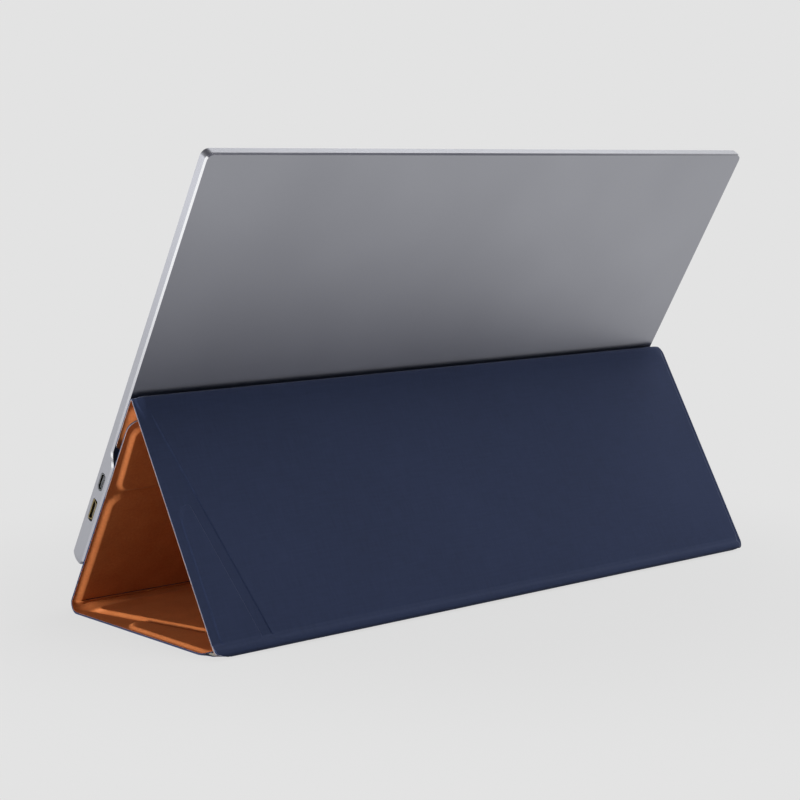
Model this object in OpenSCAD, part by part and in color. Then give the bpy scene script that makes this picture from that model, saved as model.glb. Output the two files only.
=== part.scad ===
// Portable display that leans on its own folded cover.
// X runs along the width, +Y is behind the screen, +Z is up; the cover's base panel lies on z = 0.

/* [Display] */
// Width of the display
display_w = 358.7; // [350:0.5:364]
// Height of the display
display_h = 226.2; // [210:0.5:240]
// Thickness of the lower part, which holds the electronics
thick_t = 8.95; // [8.6:0.05:9.6]
// Thickness of the upper part
thin_t = 5.0; // [4.9:0.05:5.4]
// Height of the lower part, up to where the back starts to step in
step_v = 59.3; // [56:0.1:62]
// Height over which the back steps in
step_len = 8.0; // [6:0.5:10]
// Radius of the outline's corners
corner_r = 4.0; // [3.9:0.1:6]
// Chamfer along the back edge
edge_chamfer = 0.8; // [0.3:0.1:1]
// Radius of the rounded bottom edge
bottom_r = 3.8; // [2.4:0.1:3.8]
// Wall of the metal back
wall = 1.3; // [1.1:0.1:1.6]

/* [Stand] */
// Lean of the display and of the cover's front wall from upright
lean = 30.2; // [28:0.1:32]
// Lean of the rear panel from upright
rear_lean = 30.2; // [28:0.1:31]
// Length of the base between the sharp corners of its two folds
base_len = 126.8; // [120:0.1:130]
// Height of the display's bottom edge above the front fold, along the wall
perch = 28.0; // [26:0.5:32]

/* [Cover] */
// Width of the cover
cover_w = 365.6; // [360:0.1:374]
// Sideways place of the display on the cover
display_x = 3.7; // [0:0.1:7]
// Outer fabric
skin_t = 0.7; // [0.5:0.05:0.9]
// Stiffening board
board_t = 1.2; // [0.9:0.05:1.4]
// Stiffening board of the top flap, which holds the magnets
flap_board_t = 2.1; // [1.9:0.05:2.1]
// Inner lining
lining_t = 0.7; // [0.5:0.05:0.9]
// Corner radius of a panel
panel_r = 6.0; // [3:0.5:8]
// Outer bend radius of the front fold
front_bend = 5.2; // [4.6:0.1:7]
// Outer bend radius of the rear fold
rear_bend = 2.0; // [1.8:0.1:5]
// Outer bend radius of the fold at the top
apex_bend = 1.8; // [1.6:0.1:3]
// Top of the front wall, along the wall
wall_top = 72.0; // [71:0.5:74]
// Lower edge of the tab
tab_low = 76.0; // [75.5:0.5:80]
// Upper edge of the tab
tab_top = 116.5; // [112:0.5:117]
// Lower edge of the top flap, along the wall
flap_low = 97.0; // [96:0.5:99]
// Slope of the slanted fold line across the rear and base panels
crease_slope = 0.23; // [0.2:0.01:0.25]
// Distance of that line from the panel's end, at the rear fold
crease_in = 35.0; // [33:0.5:38]
// Height of the rear panel's corner board, from the rear fold
rear_corner_h = 74.0; // [65:0.5:80]
// Reach of the base panel's corner board, from the rear fold
base_corner_h = 78.0; // [65:0.5:80]
// Rounding of the port-end corners at the rear fold
notch_r = 8.0; // [6:0.5:9]

/* [Ports and keys] */
// Place up the side and opening of the round-ended data socket
data_v = 48.9; // [46:0.1:50]
// Place up the side of the video socket
video_v = 32.1; // [30:0.1:33]
// Height of the sockets' centre line above the back
port_z = 4.5; // [4.4:0.05:4.7]
// Place up the hidden side of its data socket
hidden_data_v = 14.0; // [13:0.5:15]
// Place up the hidden side of the sound socket
jack_v = 25.0; // [24:0.5:26]
// Radius of the sound socket's bore
jack_r = 1.78; // [1.75:0.01:1.8]
// Place up the hidden side of the menu key
menu_v = 37.0; // [36:0.5:38]
// Place up the hidden side of the power key
power_v = 50.0; // [49:0.5:51]
// Radius of the tripod socket's bore
tripod_r = 2.55; // [2.5:0.01:2.6]

/* [Hidden] */

SILVER = "#b8babd";
DARK = "#1b1c1f";
BOARD_GREEN = "#1f5a3c";
STEEL = "#9a9da1";
NAVY = "#29334a";
TAN = "#a8622f";
GREYBOARD = "#6d6a63";

// Smallest gap between pieces of different bodies that only rest on each other
rest_gap = 0.15;
// Gap around a part that slides in a hole
slide_gap = 0.15;
// Small reach past a surface that a cut starts from
eps = 0.5;

// ---- The section: where the folds and panels lie, in the Y-Z plane -------------------------

panel_t = skin_t + board_t + lining_t;
flap_t = skin_t + flap_board_t + lining_t;
strip_t = skin_t + lining_t;
// The base lies a little ahead of its middle, so that the whole object is centred on the origin
front_y = 2.85 - base_len / 2 - 4.8;
rear_y = front_y + base_len;
wall_dir = [sin(lean), cos(lean)];
wall_in = [cos(lean), -sin(lean)];
rear_dir = [-sin(rear_lean), cos(rear_lean)];
rear_in = [-cos(rear_lean), -sin(rear_lean)];
front_corner = [front_y, 0];
rear_corner = [rear_y, 0];
// Bottom of the display's back plane, just off the front wall
display_foot = front_corner + perch * wall_dir - rest_gap * wall_in;
// The flap lies in the step of the display's back
flap_plane = display_foot - (thick_t - thin_t - 0.05) * wall_in;
// Where the flap's and the rear panel's outer planes meet
apex_u = cross(rear_corner - flap_plane, rear_dir) / cross(wall_dir, rear_dir);
apex = flap_plane + apex_u * wall_dir;
rear_len = norm(apex - rear_corner);
// From a sharp corner to where its bend starts
front_tan = front_bend / tan((90 - lean) / 2);
rear_tan = rear_bend / tan((90 - rear_lean) / 2);
apex_tan = apex_bend / tan((lean + rear_lean) / 2);
flap_len = apex_u - (flap_low - perch);
// Hairline left between a panel and the bend it runs into
hairline = 0.01;

cover_left = -cover_w / 2;
cover_right = cover_w / 2;
// The port end is cut straight through the folds; the other end is rounded at each of them
cut_r = 0.6;
strip_left = cover_left + panel_r;
strip_right = cover_right - cut_r;
// Margin of fabric around a board: at a free edge, at the base's port end, and beside each bend
hem = 5.0;
base_port_hem = 3.5;
front_hem = 0.4;
rear_hem = 2.5;
apex_hem = 3.6;
tab_hem = 1.5;
// Width of the soft line between two boards
crease_gap = 6.4;

// ---- Shared shapes ----------------------------------------------------------------------

// An outline with each corner rounded: points [x, y, radius]
function fillet(p, q, s, r, n = 6) =
    let(a = (p - q) / norm(p - q), b = (s - q) / norm(s - q),
        half = acos(max(-1, min(1, a * b))) / 2,
        c = q + (a + b) / norm(a + b) * r / sin(half),
        start = q + a * r / tan(half) - c,
        turn = cross(a, b) > 0 ? -(180 - 2 * half) : 180 - 2 * half)
    [for (k = [0:n]) let(t = turn * k / n)
        c + [start.x * cos(t) - start.y * sin(t), start.x * sin(t) + start.y * cos(t)]];
function rounded(pts) =
    let(n = len(pts))
    [for (i = [0:n - 1])
        let(p = pts[(i + n - 1) % n], q = pts[i], s = pts[(i + 1) % n])
        for (v = q[2] > 0 ? fillet([p.x, p.y], [q.x, q.y], [s.x, s.y], q[2]) : [[q.x, q.y]]) v];
function box_outline(x0, x1, y0, y1, r) = [[x0, y0, r], [x1, y0, r], [x1, y1, r], [x0, y1, r]];
function rounded_box(x0, x1, y0, y1, r) = rounded(box_outline(x0, x1, y0, y1, r));

module plate(outline, z0, t) {
    translate([0, 0, z0]) linear_extrude(t) polygon(outline);
}

// A section drawn in (Y, Z), drawn out along X
module along_x(x0, x1) {
    translate([x0, 0, 0]) rotate([90, 0, 90]) linear_extrude(x1 - x0) children();
}

// Places: each turns a piece drawn flat, outer face down, into the standing object
module on_display() {
    translate([display_x, display_foot.x, display_foot.y]) rotate([90 - lean, 0, 0]) children();
}
module on_base() { translate([0, front_y, 0]) children(); }
module on_rear() { translate([0, rear_y, 0]) rotate([90 + rear_lean, 0, 0]) children(); }
module on_wall() { translate([0, front_y, 0]) rotate([-90 - lean, 0, 0]) children(); }
module on_flap() { translate([0, apex.x, apex.y]) rotate([-90 - lean, 0, 0]) children(); }

// ---- Display shell: a loft through levels from back to front ----------------------------

display_half = display_w / 2;
// Depth of the back plane at a height: a smooth step from thick to thin
function back_z(v) =
    let(t = max(0, min(1, (v - step_v) / step_len))) (thick_t - thin_t) * t * t * (3 - 2 * t);
STEP_ROWS = 10;
CORNER_ROWS = 6;
// How far the bottom corners round in along the width; the round bottom edge rounds them upwards
low_corner_w = 1.2;
// The right half of the outline, bottom to top: [height of the arc's centre, direction, arc's width]
outline_rows = concat(
    [for (k = [0:CORNER_ROWS]) [corner_r, -90 + 90 * k / CORNER_ROWS, low_corner_w]],
    [for (k = [0:STEP_ROWS]) [step_v + step_len * k / STEP_ROWS, 0, corner_r]],
    [for (k = [0:CORNER_ROWS]) [display_h - corner_r, 90 * k / CORNER_ROWS, corner_r]]);
// How far a rounded edge and a chamfer draw in, at a depth below the face they start from
function round_inset(d, r) = d >= r ? 0 : r - sqrt(r * r - pow(r - d, 2));
function chamfer_inset(d, c) = max(0, c - d);
// Levels near the back follow it: [depth at the bottom edge, depth at the sides]
BACK_LEVELS = [for (k = [0:4]) [bottom_r * (1 - cos(22.5 * k)), [0, 0.3, 0.8, 1.0, 1.2][k]]];
// Levels near the front are flat: depth below the screen's face
seam_depth = 1.55;
FRONT_LEVELS = [bottom_r, 2.3, seam_depth];
BEZEL_LEVELS = [seam_depth, 0.8, 0.3, 0.1, 0];
front_chamfer = 0.3;

// A point of a ring: the side is drawn in by one amount, and the bottom or top by another
function ring_point(row, side, end) = [display_half - row[2] + (row[2] - side) * cos(row[1]),
    row[0] + (corner_r - end) * sin(row[1])];
function back_ring(level) = [for (row = outline_rows)
    let(low = row[1] < 0, side = chamfer_inset(level[1], edge_chamfer),
        share = low ? pow(sin(row[1]), 2) : 0)
    concat(ring_point(row, side, low ? round_inset(level[0], bottom_r) : side),
        back_z(row[0]) + share * level[0] + (1 - share) * level[1])];
function front_ring(depth) = [for (row = outline_rows)
    let(side = chamfer_inset(depth, front_chamfer))
    concat(ring_point(row, side, row[1] < 0 ? round_inset(depth, bottom_r) : side), thick_t - depth)];

// Skin over mirrored half rings, closed at both ends with strips from side to side
module loft(rings) {
    rows = len(rings[0]);
    ring_n = 2 * rows;
    last = len(rings) - 1;
    points = [for (ring = rings)
        each concat(ring, [for (i = [rows - 1:-1:0]) [-ring[i].x, ring[i].y, ring[i].z]])];
    sides = [for (k = [0:last - 1]) for (i = [0:ring_n - 1])
        let(a = k * ring_n + i, b = k * ring_n + (i + 1) % ring_n)
        each [[a, b + ring_n, b], [a, a + ring_n, b + ring_n]]];
    back = [for (i = [0:rows - 2]) let(j = ring_n - 1 - i) each [[i, i + 1, j], [i + 1, j - 1, j]]];
    front = [for (f = back) [for (v = [f[2], f[1], f[0]]) v + last * ring_n]];
    polyhedron(points, concat(sides, back, front));
}

// ---- Display pieces, drawn lying on their back: x across, y up the screen, z to the front ---

cavity_low = 4.0;
cavity_top = display_h - 1.7;
thin_back = thick_t - thin_t;
seam_z = thick_t - seam_depth;
pcb_low = 2.0;
pcb_t = 0.9;
pcb_top = pcb_low + pcb_t;
key_w = 2.2;
key_len = 8.0;
key_r = 1.0;
key_out = 0.35;
key_travel = 0.35;
key_z = 4.6;
data_len = 9.4;
data_h = 3.8;
slot_r = 1.75;
video_len = 12.0;
video_h = 3.6;
jack_barrel = 2.45;

// A slot through the side wall; x runs out of the right side
module side_slot(v, z, length, height, r) {
    translate([display_half - 4, 0, 0]) along_x(0, 4 + eps)
        polygon(rounded_box(v - length / 2, v + length / 2, z - height / 2, z + height / 2, r));
}

module rear_cover() {
    color(SILVER) on_display() difference() {
        loft(concat([for (l = BACK_LEVELS) back_ring(l)], [for (d = FRONT_LEVELS) front_ring(d)]));
        along_x(-display_half + wall, display_half - wall) polygon([
            [cavity_low, wall], [step_v - 1, wall], [step_v + step_len + 1, thin_back + wall],
            [cavity_top, thin_back + wall], [cavity_top, thick_t], [cavity_low, thick_t]]);
        side_slot(data_v, port_z, data_len, data_h, slot_r);
        side_slot(video_v, port_z, video_len, video_h, 0.9);
        mirror([1, 0, 0]) {
            side_slot(hidden_data_v, port_z, data_len, data_h, slot_r);
            for (v = [menu_v, power_v])
                side_slot(v, key_z, key_len + 2 * slide_gap, key_w + 2 * slide_gap, key_r + slide_gap);
        }
        translate([-display_half - eps, jack_v, port_z])
            rotate([0, 90, 0]) cylinder(r = jack_barrel, h = 4, $fn = 48);
        translate([0, -eps, tripod_z])
            rotate([-90, 0, 0]) cylinder(r = tripod_r + 0.3, h = cavity_low + 2 * eps, $fn = 48);
    }
}

bezel_side = 3.3;
bezel_top = 2.6;
chin = 10.0;
glass_t = 0.6;
glass_gap = 0.1;
module bezel_frame() {
    color(DARK) on_display() difference() {
        loft([for (d = BEZEL_LEVELS) front_ring(d)]);
        plate(rounded_box(-display_half + bezel_side, display_half - bezel_side,
            chin, display_h - bezel_top, 1.5), 0, thick_t + eps);
    }
}

module display_glass() {
    color(DARK) on_display() plate(rounded_box(
        -display_half + bezel_side + glass_gap, display_half - bezel_side - glass_gap,
        chin + glass_gap, display_h - bezel_top - glass_gap, 1.4), thick_t - glass_t - 0.05, glass_t);
}

oled_t = 0.9;
oled_z = thick_t - glass_t - 0.05 - oled_t;
module oled_panel() {
    color("#0d0f14") on_display() plate(rounded_box(
        -display_half + bezel_side + 0.6, display_half - bezel_side - 0.6,
        chin + 2, display_h - bezel_top - 0.6, 1), oled_z, oled_t);
}

module graphite_sheet() {
    color("#3a3c40") on_display() plate(rounded_box(-150, 150, 74, 205, 3), oled_z - 0.15, 0.15);
}

main_board_x = [96, 176.8];
module main_board() {
    color(BOARD_GREEN) on_display() {
        plate(rounded([[main_board_x[0], 12, 2], [150, 12, 2], [156, 22, 2], [main_board_x[1], 22, 1],
            [main_board_x[1], 57, 1], [main_board_x[0], 57, 2]]), pcb_low, pcb_t);
        for (c = [[104, 46, 6], [120, 48, 8], [128, 18, 5]])
            plate(rounded_box(c.x, c.x + c[2], c.y, c.y + c[2], 0.4), pcb_top, 1.1);
    }
}

module shield_can() {
    color(STEEL) on_display() difference() {
        plate(rounded_box(112, 148, 24, 44, 1), pcb_top, 2.2);
        plate(rounded_box(112.3, 147.7, 24.3, 43.7, 0.8), pcb_top - eps, 2.2 - 0.3 + eps);
    }
}

module driver_board() {
    color(BOARD_GREEN) on_display() {
        plate(rounded_box(-78, 62, 36, 56, 2), pcb_low, pcb_t);
        for (x = [-60, -20, 20])
            plate(rounded_box(x, x + 12, 39, 47, 0.4), pcb_top, 1.0);
    }
}

// A flat ribbon that rises from the driver board and lies along the panel's back
ribbon_t = 0.2;
module panel_ribbon() {
    color("#b57b2a") on_display() along_x(-34, 18) polygon([
        [49, pcb_top], [54, pcb_top], [57.5, 6.6], [70, oled_z - ribbon_t], [72, oled_z - ribbon_t],
        [72, oled_z], [69.9, oled_z], [57.2, 6.9], [53.7, pcb_top + ribbon_t], [49, pcb_top + ribbon_t]]);
}

socket_shell = 0.35;
// A data socket: a round-ended steel shell, open at its mouth, with a tongue in the middle
module data_socket_at(v, x_mouth) {
    translate([x_mouth, 0, 0]) {
        difference() {
            along_x(-7.4, 0) polygon(rounded_box(v - 4.5, v + 4.5, pcb_top, pcb_top + 3.2, 1.5));
            along_x(-6.4, eps) polygon(rounded_box(v - 4.5 + socket_shell, v + 4.5 - socket_shell,
                pcb_top + socket_shell, pcb_top + 3.2 - socket_shell, 1.2));
        }
        along_x(-6.4, -0.8) polygon(rounded_box(v - 3.3, v + 3.3, port_z - 0.35, port_z + 0.35, 0.3));
    }
}

socket_mouth = display_half - 0.35;
module data_socket_port_side() {
    color(STEEL) on_display() data_socket_at(data_v, socket_mouth);
}

module video_socket() {
    shell = rounded([[video_v - 5.6, 0.1, 0.3], [video_v - 5.6, 3.0, 0.3], [video_v + 5.6, 3.0, 0.3],
        [video_v + 5.6, 0.1, 0.3], [video_v + 4.7, 0, 0], [video_v - 4.7, 0, 0]]);
    hollow = rounded([[video_v - 5.2, 1.1, 0.2], [video_v - 5.2, 2.65, 0.2], [video_v + 5.2, 2.65, 0.2],
        [video_v + 5.2, 1.1, 0.2], [video_v + 4.5, 0.4, 0.2], [video_v - 4.5, 0.4, 0.2]]);
    color("#c9b98a") on_display() translate([socket_mouth, 0, pcb_top]) {
        difference() {
            along_x(-7.5, 0) polygon(shell);
            along_x(-6.5, eps) polygon(hollow);
        }
        along_x(-6.5, -0.7) polygon(rounded_box(video_v - 3.8, video_v + 3.8, 1.3, 1.9, 0.2));
    }
}

// From the sockets' mouths to the edge of the key board
board_in = 2.6;
module key_board() {
    color(BOARD_GREEN) on_display() plate(rounded([
        [-socket_mouth + board_in, 6, 1], [-socket_mouth + 26, 6, 2], [-socket_mouth + 26, 57, 2],
        [-socket_mouth + board_in, 57, 1]]), pcb_low, pcb_t);
}

module data_socket_key_side() {
    color(STEEL) on_display() mirror([1, 0, 0]) data_socket_at(hidden_data_v, socket_mouth);
}

jack_len = 13.5;
jack_depth = 11.0;
module sound_socket() {
    color(DARK) on_display() translate([-socket_mouth, jack_v, port_z]) difference() {
        union() {
            rotate([0, 90, 0]) cylinder(r = jack_barrel - 0.1, h = board_in, $fn = 48);
            translate([board_in, -3.1, pcb_top - port_z]) cube([jack_len - board_in, 6.2, 4.3]);
        }
        translate([-eps, 0, 0]) rotate([0, 90, 0]) cylinder(r = jack_r, h = jack_depth + eps, $fn = 48);
    }
}

// Key: a pill through the side wall with a flange that keeps it in, and a pip towards the switch
flange_x = -display_half + wall + 0.12;
flange_t = 0.6;
module key_at(v) {
    on_display() {
        along_x(-display_half - key_out, flange_x) polygon(rounded_box(
            v - key_len / 2, v + key_len / 2, key_z - key_w / 2, key_z + key_w / 2, key_r));
        along_x(flange_x, flange_x + flange_t) polygon(rounded_box(v - key_len / 2 - 1,
            v + key_len / 2 + 1, key_z - key_w / 2 - 0.5, key_z + key_w / 2 + 0.5, 0.6));
    }
}
module power_key() { color("#a9abae") key_at(power_v); }
module menu_key() { color("#a9abae") key_at(menu_v); }

// Side-push switch on the key board, its plunger just beyond the key's travel
switch_x = -display_half + 3.6;
module switch_at(v) {
    plunger_tip = flange_x + flange_t + key_travel + 0.1;
    color(STEEL) on_display() {
        translate([switch_x, v - 2.2, pcb_top]) cube([3.2, 4.4, 3.0]);
        translate([plunger_tip, v, key_z]) rotate([0, 90, 0])
            cylinder(r = 0.7, h = switch_x - plunger_tip, $fn = 32);
    }
}
module menu_switch() { switch_at(menu_v); }
module power_switch() { switch_at(power_v); }

// Flat ribbon between the key board and the driver board
module link_ribbon() {
    color("#d8d8d2") on_display() plate(rounded([[-socket_mouth + 20, 42, 1], [-72, 42, 1], [-72, 50, 1],
        [-socket_mouth + 20, 50, 1]]), pcb_top, ribbon_t);
}

tripod_z = 4.35;
insert_w = 14;
insert_h = 9;
module tripod_insert() {
    color("#c8a860") on_display() difference() {
        plate(rounded_box(-insert_w / 2, insert_w / 2, cavity_low, cavity_low + insert_h, 1),
            wall, seam_z - wall);
        translate([0, cavity_low - eps, tripod_z]) rotate([-90, 0, 0])
            cylinder(r = tripod_r, h = insert_h - 1.5 + eps, $fn = 48);
    }
}

// Steel that the flap's magnets hold to, bonded inside the thin part of the back
steel_x = [60, 150];
module steel_plate() {
    color(STEEL) on_display() plate(rounded_box(steel_x[0], steel_x[1], 74, 96, 2), thin_back + wall, 0.8);
}
module steel_plate_port_side() { steel_plate(); }
module steel_plate_key_side() { translate([2 * display_x, 0, 0]) mirror([1, 0, 0]) steel_plate(); }

// ---- Cover pieces, drawn flat: outer face at z = 0, lining up -----------------------------

// A panel's outline; r0 and r1 round its port-end corners at y0 and y1
function panel_outline(y, r0, r1) = rounded([[cover_left, y[0], panel_r], [cover_right, y[0], r0],
    [cover_right, y[1], r1], [cover_left, y[1], panel_r]]);

module skin(y, r0, r1) {
    color(NAVY) plate(panel_outline(y, r0, r1), 0, skin_t);
}

// Lining: a flat margin bonded to the skin, raised with sloped sides over each board
module lining(y, r0, r1, boards, board_h) {
    color(TAN) difference() {
        intersection() {
            plate(panel_outline(y, r0, r1), skin_t, lining_t + board_h);
            union() {
                plate(panel_outline(y, r0, r1), skin_t, lining_t);
                for (b = boards) hull() {
                    plate(grown(b, 2.1), skin_t, lining_t);
                    plate(grown(b, 1.2), skin_t, lining_t + board_h - 0.45);
                    plate(grown(b, 0.4), skin_t, lining_t + board_h);
                }
            }
        }
        for (b = boards) plate(rounded(b), skin_t - eps, board_h + eps);
    }
}

// An outline grown by d all round, its corner radii with it; points run counter-clockwise
function grown(pts, d) =
    let(n = len(pts))
    rounded([for (i = [0:n - 1])
        let(p = pts[(i + n - 1) % n], q = pts[i], s = pts[(i + 1) % n],
            a = [q.x - p.x, q.y - p.y] / norm([q.x - p.x, q.y - p.y]),
            b = [s.x - q.x, s.y - q.y] / norm([s.x - q.x, s.y - q.y]),
            na = [a.y, -a.x], nb = [b.y, -b.x],
            m = (na + nb) / (1 + na * nb))
        [q.x + m.x * d, q.y + m.y * d, q[2] + d]]);

board_r = 4.0;
// Slanted boards at the port end. s is the distance from the rear fold's sharp corner.
function crease_x(s) = cover_right - crease_in + crease_slope * s;
// The main board stops at the slanted line
function main_outline(s0, s1) = [
    [cover_left + hem, s0, board_r], [crease_x(s0), s0, board_r],
    [crease_x(s1), s1, board_r], [cover_left + hem, s1, board_r]];
// The small board in the corner beyond the line, cut to a blunt point at its top
function corner_outline(s0, top, x1) = [
    [crease_x(s0) + crease_gap, s0, 2.5], [x1, s0, 4], [x1, top - 6, 4],
    [x1 - 4, top, 2.5], [crease_x(top) + crease_gap, top, 1.5]];
// The base panel's outlines are the rear panel's, mirrored about the rear fold
function mirrored(pts) = [for (i = [len(pts) - 1:-1:0]) [pts[i].x, base_len - pts[i].y, pts[i][2]]];

rear_s = [rear_tan + hairline, rear_len - apex_tan - hairline];
rear_main = main_outline(rear_tan + rear_hem, rear_len - apex_tan - apex_hem);
rear_corner_piece = corner_outline(rear_tan + rear_hem, rear_corner_h, cover_right - hem);
module rear_skin() { on_rear() skin(rear_s, notch_r, cut_r); }
module rear_board() { color(GREYBOARD) on_rear() plate(rounded(rear_main), skin_t, board_t); }
module rear_corner_board() {
    color(GREYBOARD) on_rear() plate(rounded(rear_corner_piece), skin_t, board_t);
}
module rear_lining() {
    on_rear() lining(rear_s, notch_r, cut_r, [rear_main, rear_corner_piece], board_t);
}

base_y = [front_tan + hairline, base_len - rear_tan - hairline];
base_main = mirrored(main_outline(rear_tan + rear_hem, base_len - front_tan - front_hem));
base_corner_piece = mirrored(corner_outline(rear_tan + rear_hem, base_corner_h,
    cover_right - base_port_hem));
module base_skin() { on_base() skin(base_y, cut_r, notch_r); }
module base_board() { color(GREYBOARD) on_base() plate(rounded(base_main), skin_t, board_t); }
module base_corner_board() {
    color(GREYBOARD) on_base() plate(rounded(base_corner_piece), skin_t, board_t);
}
module base_lining() {
    on_base() lining(base_y, cut_r, notch_r, [base_main, base_corner_piece], board_t);
}

// Wall and tab: y is minus the distance up the wall; h0 and h1 are the margins at y's ends
function straight_outline(y, h0, h1) =
    box_outline(cover_left + hem, cover_right - hem, y[0] + h0, y[1] - h1, board_r);
wall_y = [-wall_top + hairline, -front_tan - hairline];
wall_outline = straight_outline(wall_y, tab_hem, front_hem);
module wall_skin() { on_wall() skin(wall_y, cut_r, cut_r); }
module wall_board() {
    color(GREYBOARD) on_wall() plate(rounded(wall_outline), skin_t, board_t);
}
module wall_lining() {
    on_wall() lining(wall_y, cut_r, cut_r, [wall_outline], board_t);
}

// Magnets sit in pockets right through the board of the flap and of the tab
magnet_len = 40;
magnet_w = 8;
magnet_x = [-140, -80, 90, 130];
module magnet_shapes(y_mid, z0, t, gap) {
    for (x = magnet_x)
        plate(rounded_box(x - magnet_len / 2 - gap + 5, x + magnet_len / 2 + gap - 5,
            y_mid - magnet_w / 2 - gap, y_mid + magnet_w / 2 + gap, 1), z0, t);
}

tab_y = [-tab_top, -tab_low - hairline];
tab_outline = straight_outline(tab_y, hem, tab_hem);
tab_mid = -(flap_low + tab_top) / 2;
module tab_skin() { on_wall() skin(tab_y, panel_r, cut_r); }
module tab_board() {
    color(GREYBOARD) on_wall() difference() {
        plate(rounded(tab_outline), skin_t, board_t);
        magnet_shapes(tab_mid, skin_t - eps, board_t + 2 * eps, 0.05);
    }
}
module tab_magnets() { color(STEEL) on_wall() magnet_shapes(tab_mid, skin_t, board_t, 0); }
module tab_lining() {
    on_wall() lining(tab_y, panel_r, cut_r, [tab_outline], board_t);
}

// Flap: y runs down from the sharp corner at the top
flap_y = [apex_tan + hairline, flap_len];
flap_outline = straight_outline(flap_y, apex_hem, hem);
flap_mid = flap_len - (tab_top - flap_low) / 2;
module flap_skin() { on_flap() skin(flap_y, cut_r, board_r); }
module flap_board() {
    color(GREYBOARD) on_flap() difference() {
        plate(rounded(flap_outline), skin_t, flap_board_t);
        magnet_shapes(flap_mid, skin_t - eps, flap_board_t + 2 * eps, 0.05);
    }
}
module flap_magnets() { color(STEEL) on_flap() magnet_shapes(flap_mid, skin_t, flap_board_t, 0); }
module flap_lining() {
    on_flap() lining(flap_y, cut_r, board_r, [flap_outline], flap_board_t);
}

// ---- Soft fold strips between the panels --------------------------------------------------

function arc(c, r, a0, a1, n = 16) =
    [for (k = [0:n]) let(a = a0 + (a1 - a0) * k / n) c + r * [cos(a), sin(a)]];
module fold_strip(c, r, a0, a1, right = strip_right) {
    color(NAVY) along_x(strip_left, right)
        polygon(concat(arc(c, r, a0, a1), arc(c, r - strip_t, a1, a0)));
}

module apex_fold_strip() {
    fold_strip(apex - apex_tan * rear_dir + apex_bend * rear_in, apex_bend, rear_lean, 180 - lean);
}
module rear_fold_strip() {
    fold_strip([rear_y - rear_tan, rear_bend], rear_bend, -90, rear_lean, cover_right - notch_r);
}
module front_fold_strip() {
    fold_strip([front_y + front_tan, front_bend], front_bend, 180 - lean, 270);
}
module tab_fold_strip() {
    color(NAVY) on_wall() plate(rounded_box(strip_left, strip_right, -tab_low, -wall_top, 0), 0, strip_t);
}

rear_cover();
bezel_frame();
display_glass();
oled_panel();
graphite_sheet();
main_board();
shield_can();
driver_board();
panel_ribbon();
data_socket_port_side();
video_socket();
key_board();
data_socket_key_side();
sound_socket();
menu_switch();
power_switch();
link_ribbon();
tripod_insert();
steel_plate_port_side();
steel_plate_key_side();
power_key();
menu_key();
flap_skin();
flap_board();
flap_magnets();
flap_lining();
rear_skin();
rear_board();
rear_corner_board();
rear_lining();
base_skin();
base_board();
base_corner_board();
base_lining();
wall_skin();
wall_board();
wall_lining();
tab_skin();
tab_board();
tab_magnets();
tab_lining();
apex_fold_strip();
rear_fold_strip();
front_fold_strip();
tab_fold_strip();
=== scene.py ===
import math

import bmesh
import bpy
import numpy as np
from mathutils import Matrix, Vector


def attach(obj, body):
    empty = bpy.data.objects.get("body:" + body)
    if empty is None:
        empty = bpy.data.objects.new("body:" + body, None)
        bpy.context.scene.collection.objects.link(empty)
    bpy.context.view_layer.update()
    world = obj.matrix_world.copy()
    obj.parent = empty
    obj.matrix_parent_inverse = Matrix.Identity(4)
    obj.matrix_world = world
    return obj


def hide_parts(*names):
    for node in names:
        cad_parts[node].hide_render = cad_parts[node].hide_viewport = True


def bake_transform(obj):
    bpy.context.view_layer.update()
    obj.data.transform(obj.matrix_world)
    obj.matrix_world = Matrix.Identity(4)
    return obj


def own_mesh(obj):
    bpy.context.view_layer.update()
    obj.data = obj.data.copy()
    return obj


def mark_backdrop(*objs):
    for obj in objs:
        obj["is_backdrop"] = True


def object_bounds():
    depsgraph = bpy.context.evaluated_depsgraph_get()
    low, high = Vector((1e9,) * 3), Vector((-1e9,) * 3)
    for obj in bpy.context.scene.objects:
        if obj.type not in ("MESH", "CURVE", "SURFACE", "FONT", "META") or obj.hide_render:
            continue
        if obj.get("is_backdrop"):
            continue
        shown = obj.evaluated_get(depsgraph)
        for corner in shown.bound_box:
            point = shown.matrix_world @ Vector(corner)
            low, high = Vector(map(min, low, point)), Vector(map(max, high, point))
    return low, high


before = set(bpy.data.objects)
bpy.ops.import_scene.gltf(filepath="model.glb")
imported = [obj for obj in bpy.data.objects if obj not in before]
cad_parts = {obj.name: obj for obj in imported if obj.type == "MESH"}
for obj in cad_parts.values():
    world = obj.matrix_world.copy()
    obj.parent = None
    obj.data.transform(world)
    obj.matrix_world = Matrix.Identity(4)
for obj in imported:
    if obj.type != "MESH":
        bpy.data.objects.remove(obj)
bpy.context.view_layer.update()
MM = 0.001

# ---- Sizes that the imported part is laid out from, in millimetres ----

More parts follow.
